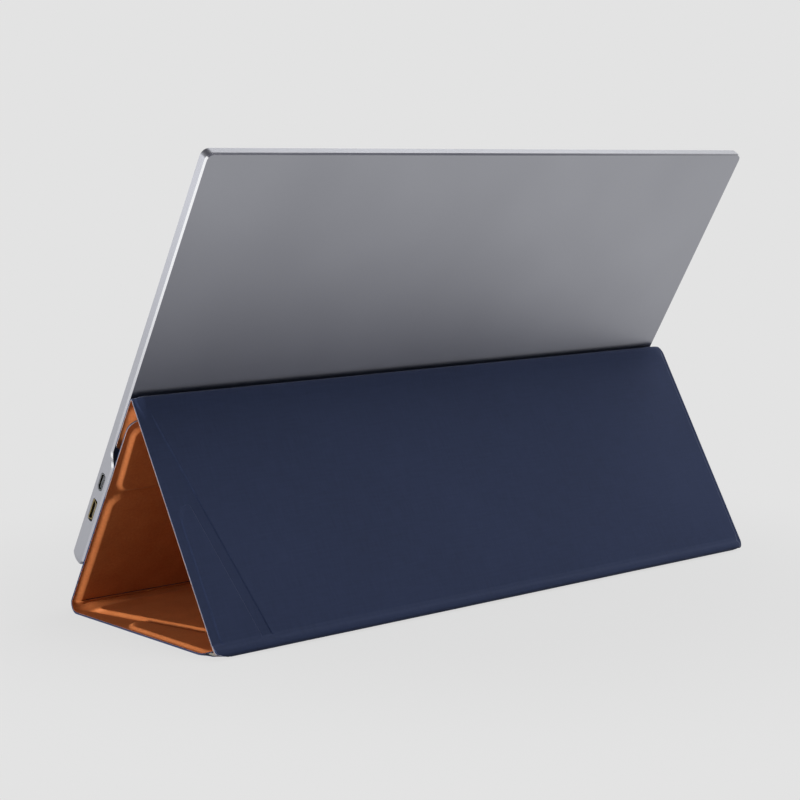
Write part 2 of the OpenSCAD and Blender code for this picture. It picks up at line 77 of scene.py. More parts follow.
DISPLAY_W, DISPLAY_H = 358.7, 226.2
THICK, THIN = 8.95, 5.0
STEP_V, STEP_LEN = 59.3, 8.0
CORNER_R, BOTTOM_R = 4.0, 3.8
LOW_CORNER_W = 1.2    # how far the bottom corners round in along the width
TOP_CORNER_R = 3.8
SEAM_DEPTH = 1.55
LEAN = math.radians(30.2)    # of the wall and display, and of the rear panel the other way
COVER_LEFT, COVER_RIGHT = -182.8, 182.8
FRONT = np.array([-65.35, 0.0])
REAR = np.array([61.45, 0.0])
APEX = np.array([-4.2930, 112.9578])
REAR_LEN, BASE_LEN, FLAP_LEN = 130.6966, 126.8, 31.3395
WALL_TOP, TAB_LOW, TAB_TOP = 72.0, 76.0, 116.5
FRONT_BEND, REAR_BEND, APEX_BEND = 5.2, 2.0, 1.8
FRONT_TAN, REAR_TAN, APEX_TAN = 9.0431, 3.4781, 3.0927
DISPLAY_FOOT = (3.7, -51.3951, 24.2751)
HALF = DISPLAY_W / 2
# Sockets and keys: how far up the port side and the key side, and how deep in the display
DATA_V, VIDEO_V = 48.9, 32.1
KEY_DATA_V, SOUND_V, MENU_V, POWER_V = 14.0, 25.0, 37.0, 50.0
PORT_Z = 4.5

# ---- Small helpers ----


def srgb(code):
    """A hex colour as linear red, green, blue and alpha."""
    parts = [int(code[i:i + 2], 16) / 255 for i in (1, 3, 5)]
    return (*[c / 12.92 if c <= 0.04045 else ((c + 0.055) / 1.055) ** 2.4 for c in parts], 1.0)


def add_node(tree, kind, sockets=None, **settings):
    """Adds a node. sockets maps an input to a value, or to the output that feeds it."""
    node = tree.nodes.new(kind)
    for key, value in settings.items():
        setattr(node, key, value)
    for key, value in (sockets or {}).items():
        if isinstance(value, bpy.types.NodeSocket):
            tree.links.new(value, node.inputs[key])
        else:
            node.inputs[key].default_value = value
    return node


def ramp(tree, factor, stops):
    node = add_node(tree, "ShaderNodeValToRGB", {"Fac": factor})
    elements = node.color_ramp.elements
    while len(elements) < len(stops):
        elements.new(0.5)
    for element, (place, code) in zip(elements, stops):
        element.position, element.color = place, srgb(code)
    return node.outputs["Color"]


def pick(part):
    """Makes a part the only one selected, and the active one."""
    bpy.ops.object.select_all(action="DESELECT")
    part.select_set(True)
    bpy.context.view_layer.objects.active = part


def settle(part, place):
    """Puts a part in its place, in its mesh, so that the object itself stays at the origin."""
    part.matrix_world = place
    pick(part)
    bpy.ops.object.transform_apply(location=True, rotation=True, scale=True)
    return part


def start(primitive, name, **how):
    """Adds a primitive, and opens it for editing."""
    bpy.ops.object.select_all(action="DESELECT")
    getattr(bpy.ops.mesh, primitive)(**how)
    part = bpy.context.object
    part.name = part.data.name = name
    bpy.ops.object.transform_apply(location=True, rotation=True, scale=True)
    bpy.ops.object.mode_set(mode="EDIT")
    return part


def choose_all():
    bpy.ops.mesh.select_all(action="SELECT")


def choose(part, what, test=None, ring=None):
    """Selects verts, edges or faces whose place in mm (and for faces, normal) pass the test.
    Of a ring's verts, or of the faces that have all their corners in it, if one is given."""
    bpy.ops.mesh.select_mode(type=what[:-1].upper())
    bpy.ops.mesh.select_all(action="DESELECT")
    mesh = bmesh.from_edit_mesh(part.data)
    for item in getattr(mesh, what):
        corners = [item] if what == "verts" else item.verts
        if ring is not None and not all(v.index in ring for v in corners):
            continue
        if what == "verts":
            about = [item.co / MM]
        elif what == "edges":
            about = [v.co / MM for v in corners]
        else:
            about = [item.calc_center_median() / MM, item.normal]
        if test is None or test(*about):
            item.select_set(True)
    mesh.select_flush_mode()
    bmesh.update_edit_mesh(part.data)


def in_middle(at, normal):
    return abs(at.x) < 0.01 and abs(at.y) < 0.01


def chosen(part):
    mesh = bmesh.from_edit_mesh(part.data)
    mesh.verts.index_update()
    return {v.index for v in mesh.verts if v.select}


def move(x, y, z):
    """Moves what is selected, in millimetres."""
    bpy.ops.transform.translate(value=(x * MM, y * MM, z * MM))


def scale(value, centre=(0, 0, 0)):
    bpy.ops.transform.resize(value=value, center_override=[c * MM for c in centre])


def bevel(size, segments, affect="EDGES"):
    bpy.ops.mesh.bevel(offset=size * MM, segments=segments, affect=affect)


def push(z):
    """Extrudes what is selected and moves the new part along z, in millimetres."""
    bpy.ops.mesh.extrude_region_move(TRANSFORM_OT_translate={"value": (0, 0, z * MM)})


def close_edit(part, smooth=30):
    """Leaves edit mode with outward faces, and shades smooth below the given angle."""
    choose_all()
    bpy.ops.mesh.remove_doubles(threshold=1e-7)
    bpy.ops.mesh.normals_make_consistent(inside=False)
    bpy.ops.object.mode_set(mode="OBJECT")
    if smooth:
        bpy.ops.object.shade_smooth_by_angle(angle=math.radians(smooth))
    return part


def modify(part, kind, **settings):
    pick(part)
    modifier = part.modifiers.new(kind.lower(), kind)
    for key, value in settings.items():
        setattr(modifier, key, value)
    bpy.ops.object.modifier_apply(modifier=modifier.name)


def cut(part, *cutters):
    """Cuts closed cutters out of a closed part, and removes the cutters."""
    for cutter in cutters:
        modify(part, "BOOLEAN", object=cutter, operation="DIFFERENCE", solver="EXACT")
        bpy.data.objects.remove(cutter)


def declare(part, node, body="display"):
    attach(part, body)
    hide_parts(node)


# The display's pieces are modelled lying on their back: x across, y up the screen, z to the
# front. This places them on the leaning display.
ON_DISPLAY = (Matrix.Translation(Vector(DISPLAY_FOOT) * MM)
              @ Matrix.Rotation(math.pi / 2 - LEAN, 4, "X"))

# ---- Materials ----


def new_material(name):
    material = bpy.data.materials.new(name)
    material.use_nodes = True
    material.node_tree.nodes.clear()
    return material, material.node_tree


def own_place(tree):
    return add_node(tree, "ShaderNodeTexCoord").outputs["Object"]


def mapped(tree, place, scale_xyz):
    return add_node(tree, "ShaderNodeMapping", {
        "Vector": place, "Scale": scale_xyz}).outputs["Vector"]


def flat_place(tree, *scale_xy):
    """Place on the flat cover, in metres across and along, scaled."""
    uv = add_node(tree, "ShaderNodeUVMap", uv_map="flat")
    return mapped(tree, uv.outputs[0], (*scale_xy, 1.0))


def noise(tree, size, detail, place=None, **more):
    """Noise with features of the given size in mm."""
    return add_node(tree, "ShaderNodeTexNoise", {
        "Vector": place or own_place(tree), "Scale": 1 / (size * MM), "Detail": detail,
        **more}).outputs["Fac"]


def spread(tree, value, low, high, start=0.3, end=0.7, **settings):
    """Spreads a value that runs from start to end over low to high."""
    return add_node(tree, "ShaderNodeMapRange", {
        "Value": value, "From Min": start, "From Max": end, "To Min": low, "To Max": high},
        **settings).outputs[0]


def combine(tree, operation, *values, **settings):
    """A node of arithmetic."""
    return add_node(tree, "ShaderNodeMath", dict(enumerate(values)), operation=operation,
                    **settings).outputs[0]


def bumped(tree, height, strength, depth):
    return add_node(tree, "ShaderNodeBump", {
        "Height": height, "Strength": strength, "Distance": depth * MM}).outputs[0]


def finish_surface(tree, shader):
    add_node(tree, "ShaderNodeOutputMaterial", {"Surface": shader.outputs[0]})


def shade(tree, sockets):
    finish_surface(tree, add_node(tree, "ShaderNodeBsdfPrincipled", sockets))


def satin_aluminium(tree):
    """Anodised aluminium, bead-blasted: a fine even grain that spreads every highlight."""
    # Grain of 0.12 mm beads, drawn at 0.5 mm so that it shows
    grain = noise(tree, 0.5, 2.0, Roughness=0.6)
    cloud = noise(tree, 90, 2.0)
    shade(tree, {
        "Base Color": ramp(tree, cloud, [(0.3, "#929399"), (0.7, "#999aa0")]),
        "Metallic": 1.0, "Roughness": spread(tree, grain, 0.30, 0.38),
        "Normal": bumped(tree, grain, 0.12, 0.02)})


def cut_aluminium(tree):
    """Chamfer milled with a diamond tool after anodising: bright, with faint lines along it."""
    lines = noise(tree, 30, 1.0, mapped(tree, own_place(tree), (1, 60, 60)))
    shade(tree, {
        "Base Color": ramp(tree, lines, [(0.3, "#eeeff2"), (0.7, "#f6f6f8")]),
        "Metallic": 1.0, "Roughness": spread(tree, lines, 0.12, 0.24, 0, 1)})


def plain(tree, colours, grain_mm, rough, metallic=0.0, strength=0.1):
    """A moulded, plated or filmed finish: two close tones in a fine grain, with a light bump."""
    grain = noise(tree, grain_mm, 3.0)
    shade(tree, {
        "Base Color": ramp(tree, grain, list(zip((0.35, 0.65), colours))),
        "Metallic": metallic, "Roughness": spread(tree, grain, *rough),
        "Normal": bumped(tree, grain, strength, 0.03)})


def woven_cloth(tree):
    """Navy cloth of fine filament yarn, laminated: close plain weave with a slight sheen."""
    # Yarns at 0.35 mm are too fine to show, so the weave is drawn at 0.9 mm
    pitch = 0.9 * MM
    warp, weft = [add_node(tree, "ShaderNodeTexWave", {
        "Vector": flat_place(tree, 1 / pitch, 1 / pitch), "Scale": 0.5, "Distortion": 0.6,
        "Detail": 1.0, "Detail Scale": 0.5}, bands_direction=way).outputs["Fac"]
        for way in "XY"]
    weave = combine(tree, "ADD", warp, weft)
    # Yarns differ a little in dye along their length: long faint streaks both ways
    streaks, cross_streaks, cloud = [
        noise(tree, 1000, 2.0, flat_place(tree, *scale_xy))
        for scale_xy in ((900, 90), (90, 900), (14, 14))]
    mixed = combine(tree, "ADD", combine(tree, "ADD", streaks, cross_streaks), cloud)
    fine = combine(tree, "MULTIPLY_ADD", weave, 0.12, mixed)
    share = combine(tree, "MULTIPLY", fine, 1 / 3)
    tones = [(0.36, "#202942"), (0.5, "#222c47"), (0.66, "#252f4b")]
    shade(tree, {
        "Base Color": ramp(tree, share, tones), "Roughness": 0.75,
        "Specular IOR Level": 0.15, "Sheen Weight": 0.3, "Sheen Roughness": 0.4,
        "Sheen Tint": srgb("#d4d8e6"), "Normal": bumped(tree, weave, 0.25, 0.05)})


def suede_leatherette(tree):
    """Tan microfibre leatherette: a soft nap, darker where it is brushed the other way."""
    # Pores of 0.2 mm, drawn at 0.7 mm so that they show
    pores = add_node(tree, "ShaderNodeTexVoronoi", {
        "Vector": flat_place(tree, 1, 1), "Scale": 1 / (0.7 * MM)})
    nap = noise(tree, 12, 4.0, flat_place(tree, 1, 1))
    fine = noise(tree, 1.2, 3.0, flat_place(tree, 1, 1))
    share = combine(tree, "MULTIPLY", combine(tree, "ADD", fine, nap), 0.5)
    tones = [(0.35, "#ad6233"), (0.5, "#b66a39"), (0.66, "#bf723f")]
    shade(tree, {
        "Base Color": ramp(tree, share, tones), "Roughness": 0.6,
        "Specular IOR Level": 0.3,
        "Normal": bumped(tree, pores.outputs["Distance"], 0.2, 0.05)})


def cut_edge(tree):
    """Cut edge of the lining's pale knitted backing: light grey, slightly fibrous."""
    fibres = noise(tree, 0.6, 3.0)
    shade(tree, {
        "Base Color": ramp(tree, fibres, [(0.3, "#5c5a60"), (0.7, "#77757b")]),
        "Roughness": 0.9, "Normal": bumped(tree, fibres, 0.4, 0.05)})


def screen_glass(tree):
    """Cover glass over an unlit panel: black, with a slight anti-glare haze."""
    haze = noise(tree, 0.8, 1.0)
    shade(tree, {
        "Base Color": ramp(tree, haze, [(0.3, "#08090b"), (0.7, "#0c0d10")]),
        "Roughness": spread(tree, haze, 0.10, 0.16, 0, 1), "IOR": 1.5})


def circuit_board(tree):
    """Solder resist over copper tracks: green, with slightly lighter tracks."""
    tracks = add_node(tree, "ShaderNodeTexBrick", {
        "Vector": own_place(tree), "Scale": 1 / (9 * MM), "Mortar Size": 0.06,
        "Color1": srgb("#1d5a3b"), "Color2": srgb("#1f5f3f"), "Mortar": srgb("#2f7a52")})
    shade(tree, {"Base Color": tracks.outputs["Color"], "Roughness": 0.35})


def finish(name, build, *details):
    """A material whose surface is drawn by build."""
    material, tree = new_material(name)
    build(tree, *details)
    return material


ALUMINIUM = finish("satin anodised aluminium", satin_aluminium)
CUT_ALUMINIUM = finish("diamond-cut aluminium", cut_aluminium)
CLOTH = finish("navy woven cloth", woven_cloth)
LEATHERETTE = finish("tan microfibre leatherette", suede_leatherette)
CUT_EDGE = finish("pale cut edge", cut_edge)
GLASS = finish("black display glass", screen_glass)
RESIST = finish("solder resist", circuit_board)
# Two tones, grain in mm, roughness from and to; then how metallic, and strength of the bump.
# The plastics are moulded with a fine spark-eroded texture; the grey is the sockets' tongues
BLACK_PLASTIC = finish("moulded black plastic", plain, ("#141416", "#1b1b1e"), 0.4, (0.45, 0.6))
GREY_PLASTIC = finish("moulded grey plastic", plain, ("#3e4044", "#484a4e"), 0.4, (0.45, 0.55))
# Stamped steel: nickel-plated, or flashed with gold
NICKEL_STEEL = finish("nickel-plated steel", plain, ("#7c7e80", "#8c8e90"), 1.5, (0.22, 0.34), 1.0)
GILT = finish("gold-flashed steel", plain, ("#938358", "#a39366"), 1.5, (0.25, 0.38), 1.0)
CONTACT_GOLD = finish("hard gold contacts", plain, ("#d9b765", "#e6c67a"), 0.8, (0.2, 0.3), 1.0)
BRASS = finish("turned brass", plain, ("#c2a35c", "#d1b26b"), 1.0, (0.25, 0.4), 1.0)
# Milled key, satin like the shell
KEY_METAL = finish("satin aluminium key", plain, ("#a2a4a8", "#aaacb0"), 0.5, (0.36, 0.46), 1.0)
# Polyimide film over copper, and the flat cable's white film
AMBER_FILM = finish("amber polyimide film", plain, ("#9b5f1c", "#b06f26"), 2.0, (0.25, 0.35))
WHITE_FILM = finish("white cable film", plain, ("#cfcfca", "#dcdcd8"), 2.0, (0.35, 0.45))
GRAPHITE = finish("pressed graphite foil", plain, ("#2c2d30", "#3a3b3f"), 1.2, (0.35, 0.55), 0.3)
PASTEBOARD = finish("grey pasteboard", plain, ("#5f5c56", "#746f67"), 1.5, (0.85, 0.95), 0.0, 0.4)
MAGNET = finish("zinc-plated magnet", plain, ("#8c8e90", "#9c9ea0"), 1.0, (0.3, 0.42), 1.0)
# Display layers seen only from inside
PANEL_FILM = finish("display panel film", plain, ("#0c0d12", "#14151b"), 3.0, (0.15, 0.25))


def dress(part, *materials):
    """Gives a part its finishes, and keeps which faces have which."""
    mesh = part.data
    which = np.zeros(len(mesh.polygons), np.int32)
    mesh.polygons.foreach_get("material_index", which)
    mesh.materials.clear()
    for material in materials:
        mesh.materials.append(material)
    mesh.polygons.foreach_set("material_index", np.minimum(which, len(materials) - 1))
    return part


CAD_FINISH = [
    (ALUMINIUM, "rear_cover"), (BLACK_PLASTIC, "bezel_frame sound_socket"),
    (GLASS, "display_glass"), (PANEL_FILM, "oled_panel"), (GRAPHITE, "graphite_sheet"),
    (RESIST, "main_board driver_board key_board"), (AMBER_FILM, "panel_ribbon"),
    (NICKEL_STEEL, "shield_can menu_switch power_switch data_socket_port_side"),
    (NICKEL_STEEL, "data_socket_key_side steel_plate_port_side steel_plate_key_side"),
    (GILT, "video_socket"), (WHITE_FILM, "link_ribbon"), (BRASS, "tripod_insert"),
    (KEY_METAL, "power_key menu_key"), (MAGNET, "flap_magnets tab_magnets"),
    (PASTEBOARD, "flap_board rear_board rear_corner_board base_board base_corner_board"),
    (PASTEBOARD, "wall_board tab_board"),
]
for material, names in CAD_FINISH:
    for name in names.split():
        dress(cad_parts[name], material)

# ---- Display shell ----

CORNER_SEGMENTS = 8
CHAMFER = 0.8
WALL = 1.3
SEAM_Z = THICK - SEAM_DEPTH


def rounded_plane(name, x0, x1, y0, y1, z, radius, segments):
    """A flat face with rounded corners, in millimetres, left selected in edit mode."""
    part = start("primitive_plane_add", name, size=1)
    choose_all()
    scale(((x1 - x0) * MM, (y1 - y0) * MM, 1))
    move((x0 + x1) / 2, (y0 + y1) / 2, z)
    if radius:
        bevel(radius, segments, "VERTICES")
    choose(part, "faces")
    return part


def round_inset(depth):
    """How far the full-round bottom edge has drawn in at a depth below the face."""
    return BOTTOM_R - math.sqrt(max(0.0, BOTTOM_R ** 2 - (BOTTOM_R - min(depth, BOTTOM_R)) ** 2))


def back_z(v):
    t = max(0.0, min(1.0, (v - STEP_V) / STEP_LEN))
    return (THICK - THIN) * t * t * (3 - 2 * t)


def raised(part, ring, rise):
    """The new ring, once the old one is pushed on."""
    choose(part, "faces", ring=ring)
    push(rise)
    return chosen(part)


def draw_in(part, ring, side, end):
    """Draws the ring in about its arcs' centres, by (before, after) insets at side and end."""
    tall, r, tiny = DISPLAY_H - TOP_CORNER_R, CORNER_R, 1e-4
    by_end = (r - end[1]) / (r - end[0])
    for width, test in ((LOW_CORNER_W, lambda y: y < r + tiny),
                        (TOP_CORNER_R, lambda y: y > r + tiny)):
        by_side = (width - side[1]) / (width - side[0])
        for sign in (-1, 1):
            wide = HALF - width
            choose(part, "verts", lambda co: sign * co.x > wide + tiny and test(co.y), ring)
            scale((by_side, 1, 1), (sign * wide, 0, 0))
    choose(part, "verts", lambda co: co.y < r - tiny, ring)
    scale((1, by_end, 1), (0, r, 0))
    choose(part, "verts", lambda co: co.y > tall + tiny, ring)
    scale((1, by_side, 1), (0, tall, 0))


def display_outline(name):
    """The display's outline as a flat face at the seam, with its two kinds of corner."""
    part = rounded_plane(name, -HALF, HALF, 0, DISPLAY_H, SEAM_Z, 0, 0)
    for low, radius in ((True, CORNER_R), (False, TOP_CORNER_R)):
        choose(part, "verts", lambda co: co.y < 1 if low else co.y > DISPLAY_H - 1)
        bevel(radius, CORNER_SEGMENTS, "VERTICES")
    narrow = LOW_CORNER_W / CORNER_R
    for sign in (-1, 1):
        choose(part, "verts", lambda co: co.y < CORNER_R + 1e-3 and sign * co.x > 0)
        scale((narrow, 1, 1), (sign * HALF, 0, 0))
    return part


# Levels of the back, from the widest: (depth at the bottom edge, depth at the sides)
SIDE_DEPTHS = [1.1, 0.8, 0.72, 0.62, 0.5, 0.38, 0.26, 0.14, 0.06, 0.0]
BACK_LEVELS = [(BOTTOM_R * (1 - math.cos(math.radians(90 - 10 * k))), depth)
               for k, depth in enumerate(SIDE_DEPTHS)]


def make_rear_shell():
    """Milled back: full-round bottom edge, cut chamfer round the rest, and a soft step."""
    part = display_outline("rear_shell")
    rows = [STEP_V + STEP_LEN * k / 16 for k in range(17)]
    for v in rows:
        choose_all()
        bpy.ops.mesh.bisect(plane_co=(0, v * MM, 0), plane_no=(0, 1, 0))
    choose_all()
    ring = chosen(part)
    end = round_inset(SEAM_DEPTH)
    draw_in(part, ring, (0, 0), (0, end))
    z = SEAM_Z
    for depth in (2.2, 3.0, BOTTOM_R):
        ring = raised(part, ring, THICK - depth - z)
        draw_in(part, ring, (0, 0), (end, round_inset(depth)))
        end, z = round_inset(depth), THICK - depth
    # Now at full size: the bottom arcs' rows, each with its share of the round's depth
    arc_rows = {}
    mesh = bmesh.from_edit_mesh(part.data)
    mesh.verts.ensure_lookup_table()
    for index in ring:
        y = mesh.verts[index].co.y / MM
        if y < CORNER_R - 1e-3:
            arc_rows[round(y, 4)] = ((CORNER_R - y) / CORNER_R) ** 2
    side, lift = 0.0, 0.0
    for level, (bottom_depth, side_depth) in enumerate(BACK_LEVELS):
        ring, z = raised(part, ring, side_depth - z), side_depth
        new_lift = bottom_depth - side_depth
        drawn = (CORNER_R - end) / CORNER_R
        for y, share in arc_rows.items():
            here = CORNER_R - (CORNER_R - y) * drawn
            choose(part, "verts", lambda co: abs(co.y - here) < 2e-3 * max(drawn, 0.2), ring)
            move(0, 0, share * (new_lift - lift))
        lift = new_lift
        if level == 0:
            for v in rows[1:]:
                choose(part, "verts", lambda co: abs(co.y - v) < 1e-3, ring)
                move(0, 0, back_z(v))
            choose(part, "verts", lambda co: co.y > rows[-1] + 1e-3, ring)
            move(0, 0, THICK - THIN)
        new_side, new_end = max(0.0, CHAMFER - side_depth), round_inset(bottom_depth)
        draw_in(part, ring, (side, new_side), (end, new_end))
        side, end = new_side, new_end
    choose(part, "faces", lambda at, normal: at.z > SEAM_Z - 0.01)
    bpy.ops.mesh.delete(type="FACE")
    # The cut chamfer has its own finish
    choose(part, "faces", lambda at, normal: at.y > CORNER_R - 0.5
           and 0.01 < at.z - back_z(at.y) < CHAMFER - 0.01 and abs(normal.z) < 0.95)
    for material in (ALUMINIUM, CUT_ALUMINIUM):
        part.data.materials.append(material)
    part.active_material_index = 1
    bpy.ops.object.material_slot_assign()
    close_edit(part, None)
    modify(part, "SOLIDIFY", thickness=WALL * MM, offset=-1, use_even_offset=True)
    return part


def side_cutter(name, sign, v, length, height, radius, flare):
    """Closed slot cutter through a side wall, wider at its mouth."""
    part = rounded_plane(name, -length / 2 - flare, length / 2 + flare, -height / 2 - flare,
                         height / 2 + flare, 0.1, radius + flare, 8)
    push(-(flare + 0.1))
    scale((length / (length + 2 * flare), height / (height + 2 * flare), 1))
    push(-3)
    close_edit(part, None)
    part.matrix_world = to_side(sign, v, PORT_Z)
    return part


def to_side(sign, v, z):
    """Where a side face is, for what was modelled flat, length along x, height along y."""
    turn = Matrix(((0, 1, 0), (0, 0, sign), (sign, 0, 0))).transposed().to_4x4()
    return Matrix.Translation(Vector((sign * HALF, v, z)) * MM) @ turn


TRIPOD_Z = 4.35
# Openings' length, height and corner radius, and how much wider they are at the mouth
DATA_SLOT, KEY_SLOT = (9.4, 3.8, 1.75, 0.25), (8.2, 2.4, 1.1, 0.12)
VIDEO_SLOT, SOUND_HOLE = (12.0, 3.6, 0.9, 0.25), (3.9, 3.9, 1.9, 0.25)
rear_shell = make_rear_shell()
openings = [(1, DATA_V, DATA_SLOT), (1, VIDEO_V, VIDEO_SLOT), (-1, KEY_DATA_V, DATA_SLOT),
            (-1, MENU_V, KEY_SLOT), (-1, POWER_V, KEY_SLOT), (-1, SOUND_V, SOUND_HOLE)]
cutters = [side_cutter("slot_cutter", sign, v, *slot) for sign, v, slot in openings]
tripod_cutter = start("primitive_cylinder_add", "tripod_cutter", vertices=48,
                      radius=2.85 * MM, depth=8 * MM, location=(0, 1 * MM, TRIPOD_Z * MM),
                      rotation=(math.pi / 2, 0, 0))
cut(rear_shell, *cutters, close_edit(tripod_cutter, None))
modify(rear_shell, "WELD", merge_threshold=2e-6)
bpy.ops.object.shade_smooth_by_angle(angle=math.radians(28))
declare(settle(rear_shell, ON_DISPLAY), "rear_cover")


FRAME_SIDE, FRAME_LOW, FRAME_TOP = 3.3, 10.0, 2.6    # widths of the frame round the glass
GAP = 0.08                                           # between frame and glass


def make_bezel():
    """Moulded frame round the glass; its bottom edge completes the full round."""
    part = display_outline("front_bezel")
    choose_all()
    ring = chosen(part)
    end, side, z = round_inset(SEAM_DEPTH), 0.0, SEAM_Z
    draw_in(part, ring, (0, 0), (0, end))
    for depth in (1.2, 0.85, 0.55, 0.3, 0.16, 0.06, 0.0):
        ring, z = raised(part, ring, THICK - depth - z), THICK - depth
        new_side, new_end = max(0.0, 0.3 - depth), round_inset(depth)
        draw_in(part, ring, (side, new_side), (end, new_end))
        side, end = new_side, new_end
    close_edit(part, None)
    window = rounded_plane("window_cutter", -HALF + FRAME_SIDE, HALF - FRAME_SIDE, FRAME_LOW,
                           DISPLAY_H - FRAME_TOP, SEAM_Z - 1, 1.5, 6)
    push(4)
    cut(part, close_edit(window, None))
    bpy.ops.object.shade_smooth_by_angle(angle=math.radians(30))
    dress(part, BLACK_PLASTIC, ALUMINIUM)
    # The frame's rim is in the shell's finish, so that the side reads as one
    part.active_material_index = 1
    bpy.ops.object.mode_set(mode="EDIT")
    choose(part, "faces", lambda at, normal: normal.z < 0.9 and (
        abs(at.x) > HALF - 1.5 or not 3.7 <= at.y <= DISPLAY_H - 1.2))
    bpy.ops.object.material_slot_assign()
    bpy.ops.object.mode_set(mode="OBJECT")
    return part


declare(settle(make_bezel(), ON_DISPLAY), "bezel_frame")

glass = rounded_plane("screen_glass", -HALF + FRAME_SIDE + GAP, HALF - FRAME_SIDE - GAP,
                      FRAME_LOW + GAP, DISPLAY_H - FRAME_TOP - GAP, THICK - 0.65, 1.4, 6)
push(0.6)
choose(glass, "edges", lambda a, b: min(a.z, b.z) > THICK - 0.06)
bevel(0.08, 2)
dress(settle(close_edit(glass), ON_DISPLAY), GLASS)
declare(glass, "display_glass")

# ---- Sockets and keys ----


def tube(name, outline_half, wall, depth, radius, lower_cut=0.0):
    """A ring of wall thickness round a rounded slot."""
    wide, tall = outline_half
    part = rounded_plane(name, -wide, wide, -tall, tall, 0, radius, 8)
    if lower_cut:
        choose(part, "verts", lambda co: co.y < -tall + radius + 0.01)
        scale(((wide - lower_cut) / wide, 1, 1))
        choose(part, "faces")
    bpy.ops.mesh.inset(thickness=wall * MM)
    choose(part, "faces", in_middle)
    bpy.ops.mesh.delete(type="FACE")
    choose(part, "faces")
    push(-depth)
    return close_edit(part)


def block(name, x, y, z, round_off):
    """A box between two places each way, all its edges rounded off."""
    part = start("primitive_cube_add", name, size=1)
    choose_all()
    scale([(high - low) * MM for low, high in (x, y, z)])
    move(*[(low + high) / 2 for low, high in (x, y, z)])
    bevel(round_off, 3)
    return close_edit(part, 35)


def row_of(part, step, count, name):
    """A part and its copies in a row along x, joined into one."""
    made = [part]
    for k in range(1, count):
        pick(part)
        bpy.ops.object.duplicate(linked=False)
        made.append(settle(bpy.context.object, Matrix.Translation((k * step * MM, 0, 0))))
    return join(made, name)


def join(parts, name):
    bpy.ops.object.select_all(action="DESELECT")
    for part in parts:
        part.select_set(True)
    bpy.context.view_layer.objects.active = parts[0]
    bpy.ops.object.join()
    parts[0].name = parts[0].data.name = name
    return parts[0]


def fit_at_side(parts, sign, v, node, slot, body="display"):
    for part in parts:
        declare(settle(part, ON_DISPLAY @ to_side(sign, v, PORT_Z)), node, body)


def make_socket(name, where, steel, shell, plastic, tongue, back, pad, row):
    """Steel shell, a tongue in it on a block at the back, and contacts in a row on the tongue."""
    shell = dress(tube(name + "_shell", *shell), steel)
    tongue = dress(block(name + "_front", *tongue, 0.12), plastic)
    back = dress(block(name + "_back", *back, 0.1), BLACK_PLASTIC)
    pad = dress(block(name + "_pad", *pad, 0.03), CONTACT_GOLD)
    fit_at_side([shell, join([tongue, back], name + "_tongue"),
                 row_of(pad, *row, name + "_contacts")], *where)


# Round-ended shell; its contacts reach both faces of the tongue
DATA_SOCKET = (NICKEL_STEEL, ((4.55, 1.65), 0.32, 7.0, 1.6), GREY_PLASTIC,
               ((-3.3, 3.3), (-0.34, 0.34), (-5.7, -0.35)),
               ((-4.3, 4.3), (-1.45, 1.45), (-7.2, -5.6)),
               ((-2.9, -2.65), (-0.38, 0.38), (-4.6, -1.2)), (0.5, 12))
make_socket("data_socket_port", (1, DATA_V, "data_socket_port_side", "socket_steel"),
            *DATA_SOCKET)
make_socket("data_socket_key", (-1, KEY_DATA_V, "data_socket_key_side", "socket_steel"),
            *DATA_SOCKET)
make_socket("video_socket", (1, VIDEO_V, "video_socket", "socket_gilt"),
            GILT, ((5.6, 1.55), 0.35, 7.2, 0.35, 0.9), BLACK_PLASTIC,
            ((-3.9, 3.9), (-0.05, 0.55), (-6.6, -0.9)), ((-5.0, 5.0), (-1.2, 1.2), (-7.3, -6.0)),
            ((-3.6, -3.38), (-0.1, 0.6), (-5.4, -1.3)), (0.4, 18))

BARREL_R = 1.85
sound = rounded_plane("sound_socket_barrel", -BARREL_R, BARREL_R, -BARREL_R, BARREL_R, -0.35,
                      BARREL_R - 0.01, 10)
bpy.ops.mesh.inset(thickness=0.15 * MM)
choose(sound, "faces", in_middle)
push(-0.12)
scale((0.92, 0.92, 1))
push(-10)
close_edit(sound)
dress(sound, BLACK_PLASTIC)
modify(sound, "SOLIDIFY", thickness=0.25 * MM, offset=-1)
fit_at_side([sound], -1, SOUND_V, "sound_socket", "black_plastic")


def make_key(name, v, body):
    """Pill-shaped key with a rounded face, and the flange that keeps it in."""
    face_z = 0.35
    part = rounded_plane(name, -4.0, 4.0, -1.1, 1.1, face_z, 1.08, 10)
    push(-1.9)
    push(0)
    scale((1.22, 1.4, 1))
    push(-0.5)
    choose(part, "edges", lambda a, b: min(a.z, b.z) > face_z - 0.01)
    bevel(0.2, 4)
    dress(close_edit(part, 35), KEY_METAL)
    fit_at_side([part], -1, v, body, "key_metal", body)


make_key("power_key_cap", POWER_V, "power_key")
make_key("menu_key_cap", MENU_V, "menu_key")

# Bushing seen in the tripod hole: a turned ring with a thread of separate grooves
bushing = start("primitive_circle_add", "tripod_bushing", vertices=48, radius=3.1 * MM,
                fill_type="NGON")
choose(bushing, "faces")
bpy.ops.mesh.inset(thickness=0.3 * MM)
choose(bushing, "faces", in_middle)
for groove in (1.12, 1 / 1.12) * 6:
    push(-0.3)
    scale((groove, groove, 1))
close_edit(bushing, 20)
modify(bushing, "SOLIDIFY", thickness=0.3 * MM, offset=1)
settle(dress(bushing, BRASS), ON_DISPLAY @ Matrix.Translation(Vector((0, 0.9, TRIPOD_Z)) * MM)
       @ Matrix.Rotation(math.pi / 2, 4, "X"))
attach(bushing, "display")

# ---- The cover's section ----

